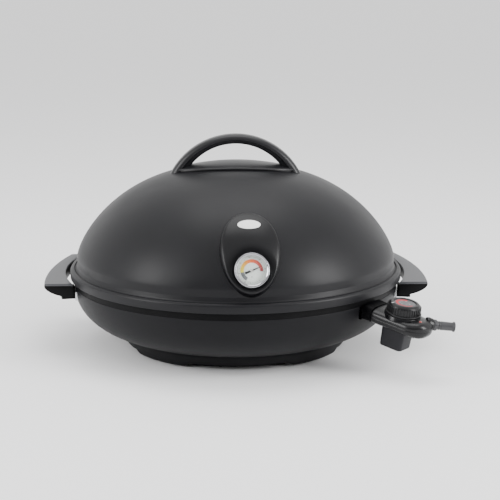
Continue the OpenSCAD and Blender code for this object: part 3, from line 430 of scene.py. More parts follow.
def solid(name, points, faces, place=Matrix()):
    """A closed mesh from points in millimetres, put in its place, with its faces turned outwards."""
    mesh = bpy.data.meshes.new(name)
    mesh.from_pydata([place @ (Vector(p) * MM) for p in points], [], faces)
    work = bmesh.new()
    work.from_mesh(mesh)
    bmesh.ops.remove_doubles(work, verts=work.verts, dist=1e-7)
    bmesh.ops.dissolve_degenerate(work, edges=work.edges, dist=1e-7)
    bmesh.ops.recalc_face_normals(work, faces=work.faces)
    work.to_mesh(mesh)
    work.free()
    return stand(name, mesh)


def once(items):
    """The items without their repeats."""
    kept = []
    for item in items:
        if item not in kept:
            kept.append(item)
    return kept


def lathe(name, outline, turns=192, place=Matrix(), ring=False):
    """Turns an outline of radius and height round the local Z axis."""
    points, rows = [], []
    for r, z in outline:
        if r < 1e-6:
            rows.append([len(points)] * turns)
            points.append((0, 0, z))
            continue
        rows.append(list(range(len(points), len(points) + turns)))
        points += [(r * c, r * s, z) for c, s in compass(turns)]
    return solid(name, points, strips(rows, ring), place)


def strips(rows, ring):
    """Faces between rows of point numbers that each close on themselves."""
    faces = []
    for low, high in zip(rows, rows[1:] + (rows[:1] if ring else [])):
        for k in range(len(low)):
            n = (k + 1) % len(low)
            face = once([low[k], low[n], high[n], high[k]])
            if len(face) > 2:
                faces.append(face)
    return faces


def skin(name, sections, place=Matrix()):
    """Joins closed sections of equal counts, and caps both ends."""
    points, rows = [], []
    for section in sections:
        rows.append(list(range(len(points), len(points) + len(section))))
        points += section
    return solid(name, points, strips(rows, False) + [rows[0][::-1], rows[-1]], place)


def button(name, top, rings, place=Matrix()):
    """A closed body that spreads from a top point through its rings to a flat foot."""
    around = len(rings[0])
    points = [top] + [p for ring in rings for p in ring]
    rows = [[0] * around]
    rows += [list(range(1 + around * k, 1 + around * (k + 1))) for k in range(len(rings))]
    return solid(name, points, strips(rows, False) + [rows[-1]], place)


def fillet(corners, radii, steps=6, ring=False):
    """Rounds the corners of an outline."""
    out = []
    count = len(corners)
    for k, (corner, radius) in enumerate(zip(corners, radii)):
        if radius <= 0 or (not ring and k in (0, count - 1)):
            out.append(corner)
            continue
        here = Vector(corner)
        back = (Vector(corners[k - 1]) - here).normalized()
        ahead = (Vector(corners[(k + 1) % count]) - here).normalized()
        half = back.angle(ahead) / 2
        reach = radius / math.tan(half)
        middle = here + (back + ahead).normalized() * (radius / math.sin(half))
        start, end = here + back * reach - middle, here + ahead * reach - middle
        sweep = start.angle_signed(end)
        for s in range(steps + 1):
            spoke = start.copy()
            spoke.rotate(Matrix.Rotation(-sweep * s / steps, 2))
            out.append(tuple(middle + spoke))
    return out


def rounded_box(width, height, radius, steps=8):
    """The outline of a rectangle with round corners, as x and y."""
    w, h = width / 2, height / 2
    corners = [(w, h), (-w, h), (-w, -h), (w, -h)]
    return fillet(corners, [radius] * 4, steps, True)


def settle(piece):
    """Turns the piece's modifiers into its plain mesh."""
    bpy.context.view_layer.update()
    graph = bpy.context.evaluated_depsgraph_get()
    mesh = bpy.data.meshes.new_from_object(piece.evaluated_get(graph))
    piece.modifiers.clear()
    piece.data = mesh
    return piece


def bevelled(piece, width, segments=3, angle=35):
    """Rounds a piece's sharp edges."""
    edge = piece.modifiers.new("edge", "BEVEL")
    edge.width, edge.segments = width * MM, segments
    edge.limit_method, edge.angle_limit = "ANGLE", math.radians(angle)
    return settle(piece)


def carve(piece, *cutters):
    """Takes the cutters out of a piece."""
    for cutter in cutters:
        cut = piece.modifiers.new("cut", "BOOLEAN")
        cut.operation, cut.solver, cut.object = "DIFFERENCE", "EXACT", cutter
        settle(piece)
        bpy.data.objects.remove(cutter)
    return piece


def joined(piece, *others):
    """Adds the meshes of the others to a piece."""
    work = bmesh.new()
    for part in (piece, *others):
        work.from_mesh(part.data)
    work.to_mesh(piece.data)
    work.free()
    for part in others:
        bpy.data.objects.remove(part)
    return piece


def disc_map(piece, place, radius, name="disc"):
    """Gives a disc its own map, with the middle at one half and up along local minus X."""
    layer = piece.data.uv_layers.new(name=name)
    back = place.inverted()
    for loop in piece.data.loops:
        p = back @ piece.data.vertices[loop.vertex_index].co
        layer.data[loop.index].uv = (0.5 + p.y / (2 * radius * MM), 0.5 - p.x / (2 * radius * MM))


def fit(piece, body, finish, slot, *nodes, angle=32):
    """Gives a piece its finish, lets it ride on its body and stand for its CAD nodes."""
    piece.data.materials.clear()
    piece.data.materials.append(finish)
    piece.data.polygons.foreach_set("use_smooth", [True] * len(piece.data.polygons))
    piece.data.set_sharp_from_angle(angle=math.radians(angle))
    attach(piece, body)
    if nodes:
        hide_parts(*nodes)
    return piece


# Repeated pieces, by geometry nodes
def group(name, inputs):
    """A geometry tree with named inputs. Gives its works and its input sockets."""
    tree = bpy.data.node_groups.new(name, "GeometryNodeTree")
    tree.interface.new_socket("Geometry", in_out="INPUT", socket_type="NodeSocketGeometry")
    for label, kind in inputs:
        tree.interface.new_socket(label, in_out="INPUT", socket_type=kind)
    tree.interface.new_socket("Geometry", in_out="OUTPUT", socket_type="NodeSocketGeometry")
    works = Works(tree)
    start = tree.nodes.new("NodeGroupInput")
    return works, {s.name: Flow(works, s) for s in start.outputs if s.name}


def grown(piece, works, values):
    """Runs a geometry tree on a piece with these input values and keeps the plain mesh."""
    run = piece.modifiers.new("grown", "NODES")
    run.node_group = works.tree
    names = {s.name: s.identifier for s in works.tree.interface.items_tree if s.in_out == "INPUT"}
    for key, value in values.items():
        run[names[key]] = value
    return settle(piece)


def screw_tree():
    """Cross head screws on points, each turned to the point's aim."""
    size = "NodeSocketFloat"
    works, ins = group(
        "cross head screws",
        [
            ("Head radius", size), ("Head height", size), ("Shank radius", size),
            ("Shank length", size), ("Slot width", size), ("Finish", "NodeSocketMaterial"),
        ],
    )
    node = works.node
    head_r, head_h = ins["Head radius"], ins["Head height"]

    def bar(kind, settings, inputs, z):
        made = node(kind, settings, inputs)
        shift = node("ShaderNodeCombineXYZ", {}, {"Z": z})
        return node("GeometryNodeTransform", {}, {"Geometry": made, "Translation": shift})

    # A cone stands on its base, and a cylinder and a cube are centred.
    crown = bar(
        "GeometryNodeMeshCone", {},
        {"Vertices": 24, "Radius Top": head_r * 0.72, "Radius Bottom": head_r, "Depth": head_h * 0.45},
        head_h * 0.55,
    )
    collar = bar(
        "GeometryNodeMeshCylinder", {}, {"Vertices": 24, "Radius": head_r, "Depth": head_h * 0.56},
        head_h * 0.28,
    )
    head = node("GeometryNodeMeshBoolean", {"operation": "UNION"}, {"Mesh 2": [crown, collar]})
    slots = []
    for flip in (False, True):
        sides = [ins["Slot width"], head_r * 1.15]
        block = node("ShaderNodeCombineXYZ", {}, {"X": sides[flip], "Y": sides[not flip], "Z": head_h * 0.9})
        slots.append(bar("GeometryNodeMeshCube", {}, {"Size": block}, head_h * 1.0))
    cross = node("GeometryNodeMeshBoolean", {"operation": "DIFFERENCE"}, {"Mesh 1": head, "Mesh 2": slots})
    shank = bar(
        "GeometryNodeMeshCylinder", {},
        {"Vertices": 16, "Radius": ins["Shank radius"], "Depth": ins["Shank length"]},
        ins["Shank length"] * -0.5,
    )
    screw = node("GeometryNodeJoinGeometry", {}, [[cross, shank]])
    aim = node("GeometryNodeInputNamedAttribute", {"data_type": "FLOAT_VECTOR"}, {"Name": "aim"})
    turned = node("FunctionNodeAlignRotationToVector", {"axis": "Z"}, {"Vector": aim})
    placed = node(
        "GeometryNodeInstanceOnPoints", {},
        {"Points": ins["Geometry"], "Instance": screw, "Rotation": turned},
    )
    real = node("GeometryNodeRealizeInstances", {}, [placed])
    done = node("GeometryNodeSetMaterial", {}, {"Geometry": real, "Material": ins["Finish"]})
    node("NodeGroupOutput", {}, [done])
    return works


def ring_tree():
    """Small blocks in even steps round a circle."""
    size = "NodeSocketFloat"
    works, ins = group(
        "marks round a circle",
        [
            ("Count", "NodeSocketInt"), ("Radius", size), ("First angle", size),
            ("Step angle", size), ("Length", size), ("Width", size), ("Height", size),
            ("Lean", size), ("Finish", "NodeSocketMaterial"),
        ],
    )
    node = works.node
    index = node("GeometryNodeInputIndex")
    angle = ins["First angle"] + index * ins["Step angle"]
    spot = node(
        "ShaderNodeCombineXYZ",
        {},
        {
            "X": node("ShaderNodeMath", {"operation": "COSINE"}, [angle]) * ins["Radius"],
            "Y": node("ShaderNodeMath", {"operation": "SINE"}, [angle]) * ins["Radius"],
        },
    )
    points = node("GeometryNodePoints", {}, {"Count": ins["Count"], "Position": spot})
    block = node("ShaderNodeCombineXYZ", {}, {"X": ins["Length"], "Y": ins["Width"], "Z": ins["Height"]})
    mark = node("GeometryNodeMeshCube", {}, {"Size": block})
    facing = node("ShaderNodeCombineXYZ", {}, {"Y": ins["Lean"], "Z": angle})
    placed = node(
        "GeometryNodeInstanceOnPoints", {},
        {"Points": points, "Instance": mark, "Rotation": facing},
    )
    real = node("GeometryNodeRealizeInstances", {}, [placed])
    done = node("GeometryNodeSetMaterial", {}, {"Geometry": real, "Material": ins["Finish"]})
    node("NodeGroupOutput", {}, [done])
    return works


SCREWS = screw_tree()
RINGS = ring_tree()
LARGE = (4.0, 2.4, 2.0, 0.8)
SMALL = (3.0, 1.8, 1.5, 0.7)


def screws(name, seats, size, length, body, node):
    """Screws at these seats. Local Z of a seat points from the shank to the head."""
    mesh = bpy.data.meshes.new(name)
    mesh.from_pydata([seat.translation for seat in seats], [], [])
    aim = mesh.attributes.new("aim", "FLOAT_VECTOR", "POINT")
    for k, seat in enumerate(seats):
        aim.data[k].vector = (seat.to_3x3() @ Vector((0, 0, 1))).normalized()
    piece = stand(name, mesh)
    head_r, head_h, shank_r, slot = size
    values = {
        "Head radius": head_r, "Head height": head_h, "Shank radius": shank_r,
        "Shank length": length, "Slot width": slot,
    }
    grown(piece, SCREWS, {**{k: v * MM for k, v in values.items()}, "Finish": STEEL})
    return fit(piece, body, STEEL, "steel", node)


def marks(name, place, count, radius, first, step, length, width, height, lean, finish):
    """Small blocks round a circle, put in place."""
    piece = stand(name, bpy.data.meshes.new(name))
    values = {"Radius": radius * MM, "Length": length * MM, "Width": width * MM, "Height": height * MM}
    values |= {
        "First angle": math.radians(first), "Step angle": math.radians(step),
        "Lean": math.radians(lean),
    }
    grown(piece, RINGS, {**values, "Count": count, "Finish": finish})
    piece.data.transform(place)
    return piece


# Base
FEET = (46, 134, 226, 314)
FOOT_AT, FOOT_R = 127.0, 38.0
SKIRT_R, SKIRT_IN, SKIRT_Z, FOOT_Z = 159.0, 156.0, 7.0, 2.5


def foot_share(azimuth):
    """How far a column of the base belongs to a foot, from 0 to 1."""
    off = min(abs((azimuth - f + 180) % 360 - 180) for f in FEET)
    share = max(0.0, min(1.0, (20.5 - off) / 6.0))
    return share * share * (3 - 2 * share), off


def base_column(azimuth):
    """The outline of the base at one azimuth, from under the middle, over the rim and down inside."""
    share, off = foot_share(azimuth)
    bottom = SKIRT_Z - (SKIRT_Z - FOOT_Z) * share
    side = FOOT_AT * math.sin(math.radians(min(off, 17.2)))
    foot_in = FOOT_AT * math.cos(math.radians(min(off, 17.2))) - math.sqrt(max(FOOT_R**2 - side**2, 0))
    inner = SKIRT_IN + (foot_in - SKIRT_IN) * share
    under = [(r, bowl_height(r)) for r in (0, 20, 40, 60, 75)]
    under += [(75 + (inner - 75) * k / 5, bowl_height(75 + (inner - 75) * k / 5)) for k in range(1, 6)]
    wall = bowl_height(inner)
    under += [(inner, wall + (bottom - wall) * k / 4) for k in range(1, 4)]
    edge = 1.6
    under += [
        (inner + edge * (1 - math.cos(a)), bottom + edge * (1 - math.sin(a)))
        for a in (0.4, 0.9, math.pi / 2)
    ]
    flat = SKIRT_R - 2.6
    under += [(inner + edge + (flat - inner - edge) * k / 4, bottom) for k in range(1, 5)]
    round_r = 3.2
    under += [
        (flat - 1.0 + round_r * math.sin(a), bottom + round_r * (1 - math.cos(a)))
        for a in (0.5, 0.9, 1.25, math.pi / 2)
    ]
    top = bowl_height(SKIRT_R + 1)
    under += [(SKIRT_R - 0.4, bottom + round_r + (top - 2.5 - bottom - round_r) * k / 4) for k in range(1, 5)]
    under += [
        (SKIRT_R + 0.1, top - 1.4), (SKIRT_R + 0.9, top - 0.6),
        (SKIRT_R + 2.2, bowl_height(SKIRT_R + 2.4)),
    ]
    outer = []
    for k in range(1, 44):
        t = math.radians(49.5 * (1 - k / 44) ** 1.25)
        outer.append((BASE_R * math.cos(t) ** 0.54, RIM_Z - (RIM_Z - BOWL_Z) * math.sin(t) ** 0.917))
    outer = [p for p in outer if p[0] > SKIRT_R + 3.2]
    rim = [
        (BASE_R, 89.6), (BASE_R - 0.3, 90.2), (BASE_R - 0.9, RIM_Z), (BASE_R - 1.7, RIM_Z),
        (BASE_R - 2.3, 90.2), (BASE_R - 2.5, 89.6),
    ]
    inside = []
    rim_r = BASE_R - WALL
    for k in range(1, 41):
        t = math.radians(90 * (k / 40) ** 1.1)
        inside.append(
            (
                rim_r * max(math.cos(t), 0) ** 0.54,
                RIM_Z - (RIM_Z - BOWL_Z - WALL) * math.sin(t) ** 0.917,
            )
        )
    inside = [p for p in inside if p[1] < 89.2]
    inside[-1] = (0, BOWL_Z + WALL)
    return under + outer + rim + inside


def make_base():
    columns = 288
    points, numbers = [], []
    for c in range(columns):
        azimuth = 360 * c / columns
        a = math.radians(azimuth)
        numbers.append([])
        for r, z in base_column(azimuth):
            numbers[-1].append(len(points))
            points.append((r * math.cos(a), r * math.sin(a), z))
    faces = []
    for c in range(columns):
        here, there = numbers[c], numbers[(c + 1) % columns]
        for k in range(len(here) - 1):
            faces.append([here[k], there[k], there[k + 1], here[k + 1]])
    bowl = solid("base_bowl", points, faces)
    notch = skin(
        "notch",
        [[(x, px, pz) for px, pz in rounded_box(46.8, 60, 6)] for x in (190, 250)],
        turn("Z", -PLUG_TURN) @ move(0, 0, 71.85 + 30),
    )
    carve(bowl, notch)
    posts = []
    for a in POSTS:
        post = fillet(
            [(0, 12.4), (11, 12.4), (7, 16), (7, 50), (1.7, 50), (1.7, 30), (0, 30)],
            [0, 0, 4, 0.8, 0.4, 0, 0],
        )
        posts.append(lathe("post", post, 40, turn("Z", a) @ move(POST_AT, 0, 0)))
    joined(bowl, *posts)
    fit(bowl, "base", BOWL_PLASTIC, "phenolic", "base_shell", angle=40)

    pads = []
    outline = [
        (4, 0), (6.5, 0), (7, 0.5), (8.5, 0.5), (9, 0), (11.5, 0), (12, 0.5), (13.5, 0.5), (14, 0),
        (17.2, 0), (18, 0.8), (18, 4), (4, 4),
    ]
    for a in FEET:
        pads.append(
            lathe(
                "foot_pad", fillet(outline, [0.3] * len(outline), 3, True), 72,
                turn("Z", a) @ move(FOOT_AT, 0, 0), True,
            )
        )
    fit(joined(*pads), "base", PAD_RUBBER, "rubber", "foot_pads")


# Side handles
GRIP_Z, GRIP_TOP, COVER_TOP = 80.0, 96.0, 99.0


def grip_reach(y):
    """The inner and outer edge of a side handle at a distance along it."""
    outer = 271 - 480 + math.sqrt(480**2 - (y + 10) ** 2)
    hollow = -51.5 + math.sqrt(298**2 - (y - 42) ** 2)
    return max(hollow, math.sqrt(232.0**2 - y * y)), outer


def grip_body_section(y):
    inner, outer = grip_reach(y)
    section = [(inner, y, GRIP_TOP), ((inner + outer) / 2, y, GRIP_TOP)]
    for k in range(15):
        t = math.radians(90 * (1 - k / 14))
        x = outer - 34 * (1 - math.sin(t))
        z = GRIP_Z + 16 * (1 - math.cos(t)) ** 0.8
        section.append((max(x, inner + 2), y, z))
    return section + [(inner + 1.0, y, GRIP_Z), (inner, y, GRIP_Z + 1.0), (inner, y, 88)]


def grip_cover_section(y):
    inner, outer = grip_reach(y)
    section = [
        (inner, y, GRIP_TOP), (inner, y, COVER_TOP - 0.9), (inner + 0.3, y, COVER_TOP - 0.25),
        (inner + 0.9, y, COVER_TOP),
    ]
    section.append(((inner + outer) / 2, y, COVER_TOP + 0.15))
    for k in range(7):
        a = math.radians(15 * k)
        section.append((outer - 2.2 + 2.2 * math.sin(a), y, COVER_TOP - 2.2 + 2.2 * math.cos(a)))
    return section + [(outer, y, GRIP_TOP + 0.25), (outer - 0.25, y, GRIP_TOP)]


def make_grips():
    stations = [-60 + 196 * k / 72 for k in range(73)]
    for side, mirror in (("right", 1), ("left", -1)):
        flip = Matrix.Diagonal((mirror, 1, 1, 1))
        cover = skin(f"grip_cover_{side}_satin", [grip_cover_section(y) for y in stations], flip)
        # The cover's grey holds painted light from above on the handle's top.
        fit(bevelled(cover, 0.7, 2, 60), "base", COVER_LACQUER_AND_TOP_LIGHT, "handle_cover", f"grip_cover_{side}")
        body = bevelled(
            skin(f"grip_body_{side}_dark", [grip_body_section(y) for y in stations], flip), 1.1, 3,
            50,
        )
        for azimuth, depth in LUGS:
            block = [
                [(x, py, pz) for py, pz in rounded_box(20, 17.5, 2.2, 4)]
                for x in (231.8, 230.5 + depth)
            ]
            joined(body, skin("lug", block, flip @ turn("Z", azimuth) @ move(0, 0, 84.2)))
        fit(body, "base", GRIP_PLASTIC, "phenolic", f"grip_body_{side}")
    seats = []
    for flip in (Matrix(), turn("Z", 180) @ Matrix.Diagonal((1, -1, 1, 1))):
        for azimuth, _ in LUGS:
            seats.append(flip @ turn("Z", azimuth) @ move(228 - 2.8, 0, 80) @ turn("Y", -90))
    screws("grip_screw_heads", seats, LARGE, 15, "base", "grip_screws")


# Lid
def make_lid():
    rim = fillet(
        [
            (234.2, 100), (236, 100), (236, 112.6), (230.4, 113.4), (229.0, 111.4), (227.2, 114.6),
            (226.0, 119.5), (226.0, 129.0),
        ],
        [0, 1.0, 4.2, 0.5, 0.6, 1.2, 4, 0],
        8,
    )
    outer, inner = [], []
    for k in range(1, 97):
        t = math.radians(90 * k / 96)
        c = max(math.cos(t), 0) ** 0.79
        outer.append((DOME_R * c, DOME_Z + DOME_H * math.sin(t) ** 1.43))
        inner.append(((DOME_R - LID_WALL) * c, DOME_Z + (DOME_H - LID_WALL) * math.sin(t) ** 1.43))
    outer[-1], inner[-1] = (0, DOME_TOP), (0, DOME_TOP - LID_WALL)
    under = fillet(
        [(224, 129), (224, 117), (226.5, 111), (234, 111), (234, 100.6), (234.2, 100)],
        [0, 4, 3, 3, 0.3, 0], 6,
    )
    outline = outer[::-1] + rim[::-1][0:-1] + under[::-1] + inner
    fit(lathe("lid_dome", outline, 288), "lid", LID_COAT, "coated_lid", "lid_shell")


def make_lid_handle():
    centre, outer_z, inner_z = 202.0, 197.0, 207.0

    def reach(angle, low, radius):
        """Distance from the sweep's centre to a circle of the arch."""
        drop = low - centre
        return drop * math.cos(angle) + math.sqrt(radius**2 - (drop * math.sin(angle)) ** 2)

    profile = [(14, 0.46), (14.0, 0.56), (13.6, 0.68), (12.2, 0.84), (9.5, 0.95), (5, 0.995), (0, 1.0)]
    profile = [(-y, v) for y, v in profile[:-1]] + [(y, v) for y, v in profile[::-1]]
    profile += [(13.2, 0.42), (11.6, 0.40), (10.9, 0.36), (10.2, 0.10), (9.4, 0.02), (8.4, 0.0)]
    profile += [(-8.4, 0.0), (-9.4, 0.02), (-10.2, 0.10), (-10.9, 0.36), (-11.6, 0.40), (-13.2, 0.42)]
    sections = []
    for k in range(97):
        angle = math.radians(-67 + 134 * k / 96)
        low, high = reach(angle, inner_z, 81), reach(angle, outer_z, 104)
        section = []
        for y, v in profile:
            r = low + (high - low) * v
            x, z = r * math.sin(angle), centre + r * math.cos(angle)
            section.append((x, y, max(z, dome_height(math.hypot(x, y)) - 0.7)))
        sections.append(section)
    arch = skin("lid_handle_arch", sections)

    def plinth_z(x, y):
        return DOME_TOP + 8.5 - 12 * (x / 89) ** 2 - 6 * (y / 36) ** 2

    rings = []
    steps = [
        (0.0, 0.0, None), (0.25, 0, None), (0.5, 0, None), (0.72, 0, None), (0.86, 0, None),
        (0.94, 0, None),
    ]
    steps += [
        (1.0, 1.9, 0.0), (1.0, 1.2, -0.12), (1.0, 0.6, -0.45), (1.0, 0.2, -1.0), (1.0, 0.0, -1.7),
        (1.0, 0.25, -2.1), (1.0, 2.4, -2.4), (1.0, 2.6, None),
    ]
    for share, inset, drop in steps:
        ring = []
        for c, s in compass(128):
            x = (89 - inset) * math.copysign(abs(c) ** 0.86, c) * share
            y = (36 - inset) * math.copysign(abs(s) ** 1.18, s) * share
            ground = dome_height(math.hypot(x, y)) - 0.6
            if drop is None and share == 1.0:
                z = ground
            else:
                z = max(plinth_z(x, y) + (drop or 0), ground)
            ring.append((x, y, z))
        rings.append(ring)
    plinth = button("lid_handle_plinth", (0, 0, plinth_z(0, 0)), rings[1:])
    fit(joined(arch, plinth), "lid", HANDLE_PLASTIC, "handle_plastic", "lid_handle", angle=38)
    seats = [on_dome(a, 72) @ move(0, 0, -LID_WALL - 1.3) @ turn("X", 180) for a in (0, 180)]
    screws("handle_screw_heads", seats, LARGE, 14, "lid", "handle_screws")


def soft_min(a, b, width):
    """The lower of two heights, with a rounded change from one to the other."""
    share = max(0.0, min(1.0, 0.5 + 0.5 * (b - a) / width))
    return b + (a - b) * share - width * share * (1 - share)


def pod_ground(x, y):
    """The local height of the dome's skin under a point of the housing."""
    low, high = -90.0, 40.0
    for _ in range(40):
        middle = (low + high) / 2
        p = (POD @ (Vector((x, y, middle)) * MM)) / MM
        r = math.hypot(p.x, p.y)
        inside = p.z < DOME_Z and r < DOME_R or (r < DOME_R and p.z < dome_height(r))
        low, high = (middle, high) if inside else (low, middle)
    return low


def pod_skin(x, y):
    """The local height of the housing's face, without the scoop."""
    return FACE_DROP + math.sqrt(FACE_R**2 - x * x - y * y)


def pod_face(x, y):
    """The local height of the housing's face, with the scoop that the gauge sits in."""
    face = pod_skin(x, y)
    to_gauge = GAUGE.inverted() @ POD
    height = face
    for _ in range(6):
        p = (to_gauge @ (Vector((x, y, height)) * MM)) / MM
        r = math.hypot(p.x, p.y)
        upward = max(0.0, min(1.0, 0.5 - p.x / 50))
        slope = 0.75 - 0.53 * upward
        floor = -8.6 + max(0.0, r - 23.6) * slope
        height += (floor - p.z) * 0.95
    return soft_min(face, height, 3.2)


def make_gauge():
    rings = []
    shares = [k / 30 for k in range(1, 29)] + [0.945, 0.958, 0.97, 0.98, 0.988, 0.994, 0.998, 1.0]
    for share in shares:
        ring = []
        for c, s in compass(144):
            x, y = POD_LONG * share * c, POD_WIDE * share * s
            edge = (1 - share) * (POD_WIDE + (POD_LONG - POD_WIDE) * abs(c))
            soften = 4.0 - math.sqrt(max(0.0, 16.0 - max(0.0, 4.0 - edge) ** 2))
            ring.append((x, y, pod_face(x, y) - soften))
        rings.append(ring)
    for depth in (0.2, 0.45, 0.7, 0.9, 1.0):
        ring = []
        for x, y, z in rings[len(shares) - 1]:
            ground = pod_ground(x, y) - 0.7
            grow = 1 + 0.004 * depth
            ring.append((x * grow, y * grow, z + (min(ground, z) - z) * depth))
        rings.append(ring)
    housing = button("gauge_housing_shell", (0, 0, pod_face(0, 0)), rings, POD)
    fit(housing, "lid", HOUSING_PLASTIC, "black_plastic", "gauge_housing", angle=50)

    rings = []
    for share, lift in (
        (0.3, 0.75), (0.6, 0.73), (0.82, 0.68), (0.92, 0.6), (0.97, 0.45), (1.0, 0.2), (1.0, -0.5),
    ):
        ring = []
        for c, s in compass(72):
            x, y = BADGE_AT + BADGE_HIGH * share * c, BADGE_WIDE * share * s
            ring.append((x, y, pod_skin(x, y) + lift))
        rings.append(ring)
    top = (BADGE_AT, 0, pod_skin(BADGE_AT, 0) + 0.76)
    fit(button("bare_badge", top, rings, POD), "lid", BADGE_ENAMEL, "badge", "gauge_badge")
    seats = [
        on_dome(-86.2 + s * 4.5, POD_AT - 27) @ move(0, 0, -LID_WALL - 0.3) @ turn("X", 180)
        for s in (-1, 1)
    ]
    screws("housing_screw_heads", seats, SMALL, 10, "lid", "housing_screws")

    bezel = [
        (20.3, -6), (23, -6), (23, -2.0), (21.9, -0.15), (20.6, -0.1), (19.3, -1.1), (19, -1.5),
        (20.3, -1.5),
    ]
    fit(
        lathe(
            "gauge_bezel_ring", fillet(bezel, [0.2, 0.5, 1.2, 0.9, 0.6, 0.3, 0.1, 0.1], 5, True),
            144, GAUGE, True,
        ),
        "lid", CHROME, "bezel", "gauge_bezel",
    )

    dial = lathe(
        "gauge_dial_face", [(0, -7.0), (19.9, -7.0), (DIAL_R, -7.1), (DIAL_R, -7.6), (0, -7.6)], 96,
        GAUGE,
    )
    disc_map(dial, GAUGE, DIAL_R)
    fit(dial, "lid", DIAL_PRINT, "dial", "gauge_dial")
    face = GAUGE @ move(0, 0, -6.96)
    # angles here run from local X, which points down, towards local Y, which points right
    fine = marks("dial_ticks", face, 25, 15.6, -147, 11.5, 0.9, 0.18, 0.08, 0, INK)
    bold = marks("dial_long_ticks", face, 7, 15.9, -147, 46, 1.7, 0.34, 0.08, 0, INK)
    unit = figure("C", 2.6, face @ shown(0, -8.2))
    figures = [
        figure(str(value), 1.9, face @ shown(*spot(17.4, 237 - 46 * k)))
        for k, value in enumerate((50, 100, 150, 200, 250, 300))
    ]
    fit(joined(fine, bold, unit, *figures), "lid", INK, "needle")

    pointer = [
        (-9.5, -1.5), (-9.5, 1.5), (-3.0, 1.3), (0, 1.1), (1.5, 0.9), (11.0, 0.45), (11.5, 0),
        (11.0, -0.45), (1.5, -0.9), (0, -1.1), (-3.0, -1.3),
    ]
    at_needle = GAUGE @ turn("Z", NEEDLE_REST) @ move(0, 0, -6.35)
    levels = [[(y, x, z) for x, y in pointer] for z in (0, 0.25, 0.5)]
    needle = bevelled(skin("needle_pointer", levels, at_needle), 0.12, 2)
    stem = lathe("needle_stem", [(0, -3.2), (0.9, -3.2), (0.9, 0.1), (0, 0.1)], 24, at_needle)
    fit(joined(needle, stem), "needle", NEEDLE_PAINT, "needle", "gauge_needle")
    hub = fillet([(0, 0.1), (1.9, 0.1), (1.9, 0.8), (1.5, 1.1), (0, 1.15)], [0, 0.1, 0.3, 0.3, 0])
    fit(lathe("needle_hub_cap", hub, 48, at_needle), "needle", HUB_METAL, "steel")


def spot(radius, degrees):
    """Right and up on a dial, from an angle that runs from the right, against the clock."""
    return radius * math.cos(math.radians(degrees)), radius * math.sin(math.radians(degrees))


def shown(right, up):
    """A place on a dial that reads upright, with its right along Y and its top along minus X."""
    return move(-up, right, 0) @ turn("Z", 90)


def figure(words, height, place):
    """Printed figures, as a thin mesh."""
    curve = bpy.data.curves.new("figures", "FONT")
    curve.body, curve.size, curve.extrude = words, height * MM, 0.03 * MM
    curve.align_x, curve.align_y = "CENTER", "CENTER"
    text = stand("figures", curve)
    bpy.context.view_layer.update()
    mesh = bpy.data.meshes.new_from_object(text.evaluated_get(bpy.context.evaluated_depsgraph_get()))
    mesh.transform(place)
    bpy.data.objects.remove(text)
    return stand("figures", mesh)


# Controller
def case_section(x, half, count=56):
    """A rounded section of the controller's case, either its upper half or its lower half."""
    end = CTRL_L - CTRL_HALF_W
    width = CTRL_HALF_W if x < end else math.sqrt(max(CTRL_HALF_W**2 - (x - end) ** 2, 0.3))
    height = CTRL_HALF_H
    if x > CTRL_L - 10.5:
        height *= math.sqrt(max(1 - ((x - CTRL_L + 10.5) / 10.5) ** 2, 0.002))
    if x < 2.0:
        ease = 1.6 * (1 - math.sqrt(max(0, 1 - (1 - x / 2.0) ** 2)))
        width, height = width - ease, height - ease
    power = 2 / 2.9
    section = []
    for k in range(count + 1):
        a = math.pi * k / count
        c, s = math.cos(a), math.sin(a)
        y = width * math.copysign(abs(c) ** power, c)
        z = height * abs(s) ** power
        lip = 0.45 * math.exp(-((z / 0.7) ** 2))
        section.append((x, y * (1 - lip / max(width, 1)), half * max(z, 0.12)))
    return section


def make_case(name, half, node):
    """The upper half of the controller's case, or the lower one where half is minus 1."""
    stations = [0, 0.2, 0.6, 1.2, 2.0] + [2 + 51 * k / 17 for k in range(1, 18)]
    stations += [53 + 24.9 * math.sin(math.radians(90 * k / 26)) for k in range(1, 27)]
    case = skin(name, [case_section(x, half) for x in stations], PLUG)
    neck = [(0, -9), (9.6, -9), (9.9, -6), (8.6, -1.5), (7.9, 0.2), (6.2, 0.6), (0, 0.6)]
    if half > 0:
        horn = lathe("relief_horn", fillet(neck, [0, 0.5, 4, 3, 0.6, 0.2, 0], 5), 64, RELIEF)
        saddle = [(0, -6), (26.5, -6.0), (25.4, -2.4), (24.6, 0.15), (23.4, 0.35), (0, 0.35)]
        boss = lathe("knob_saddle", fillet(saddle, [0, 1, 6, 0.8, 0.3, 0], 6), 128, KNOB)
        joined(case, horn, boss)
    return fit(case, "controller", CONTROL_PLASTIC, "black_plastic", node, angle=42)


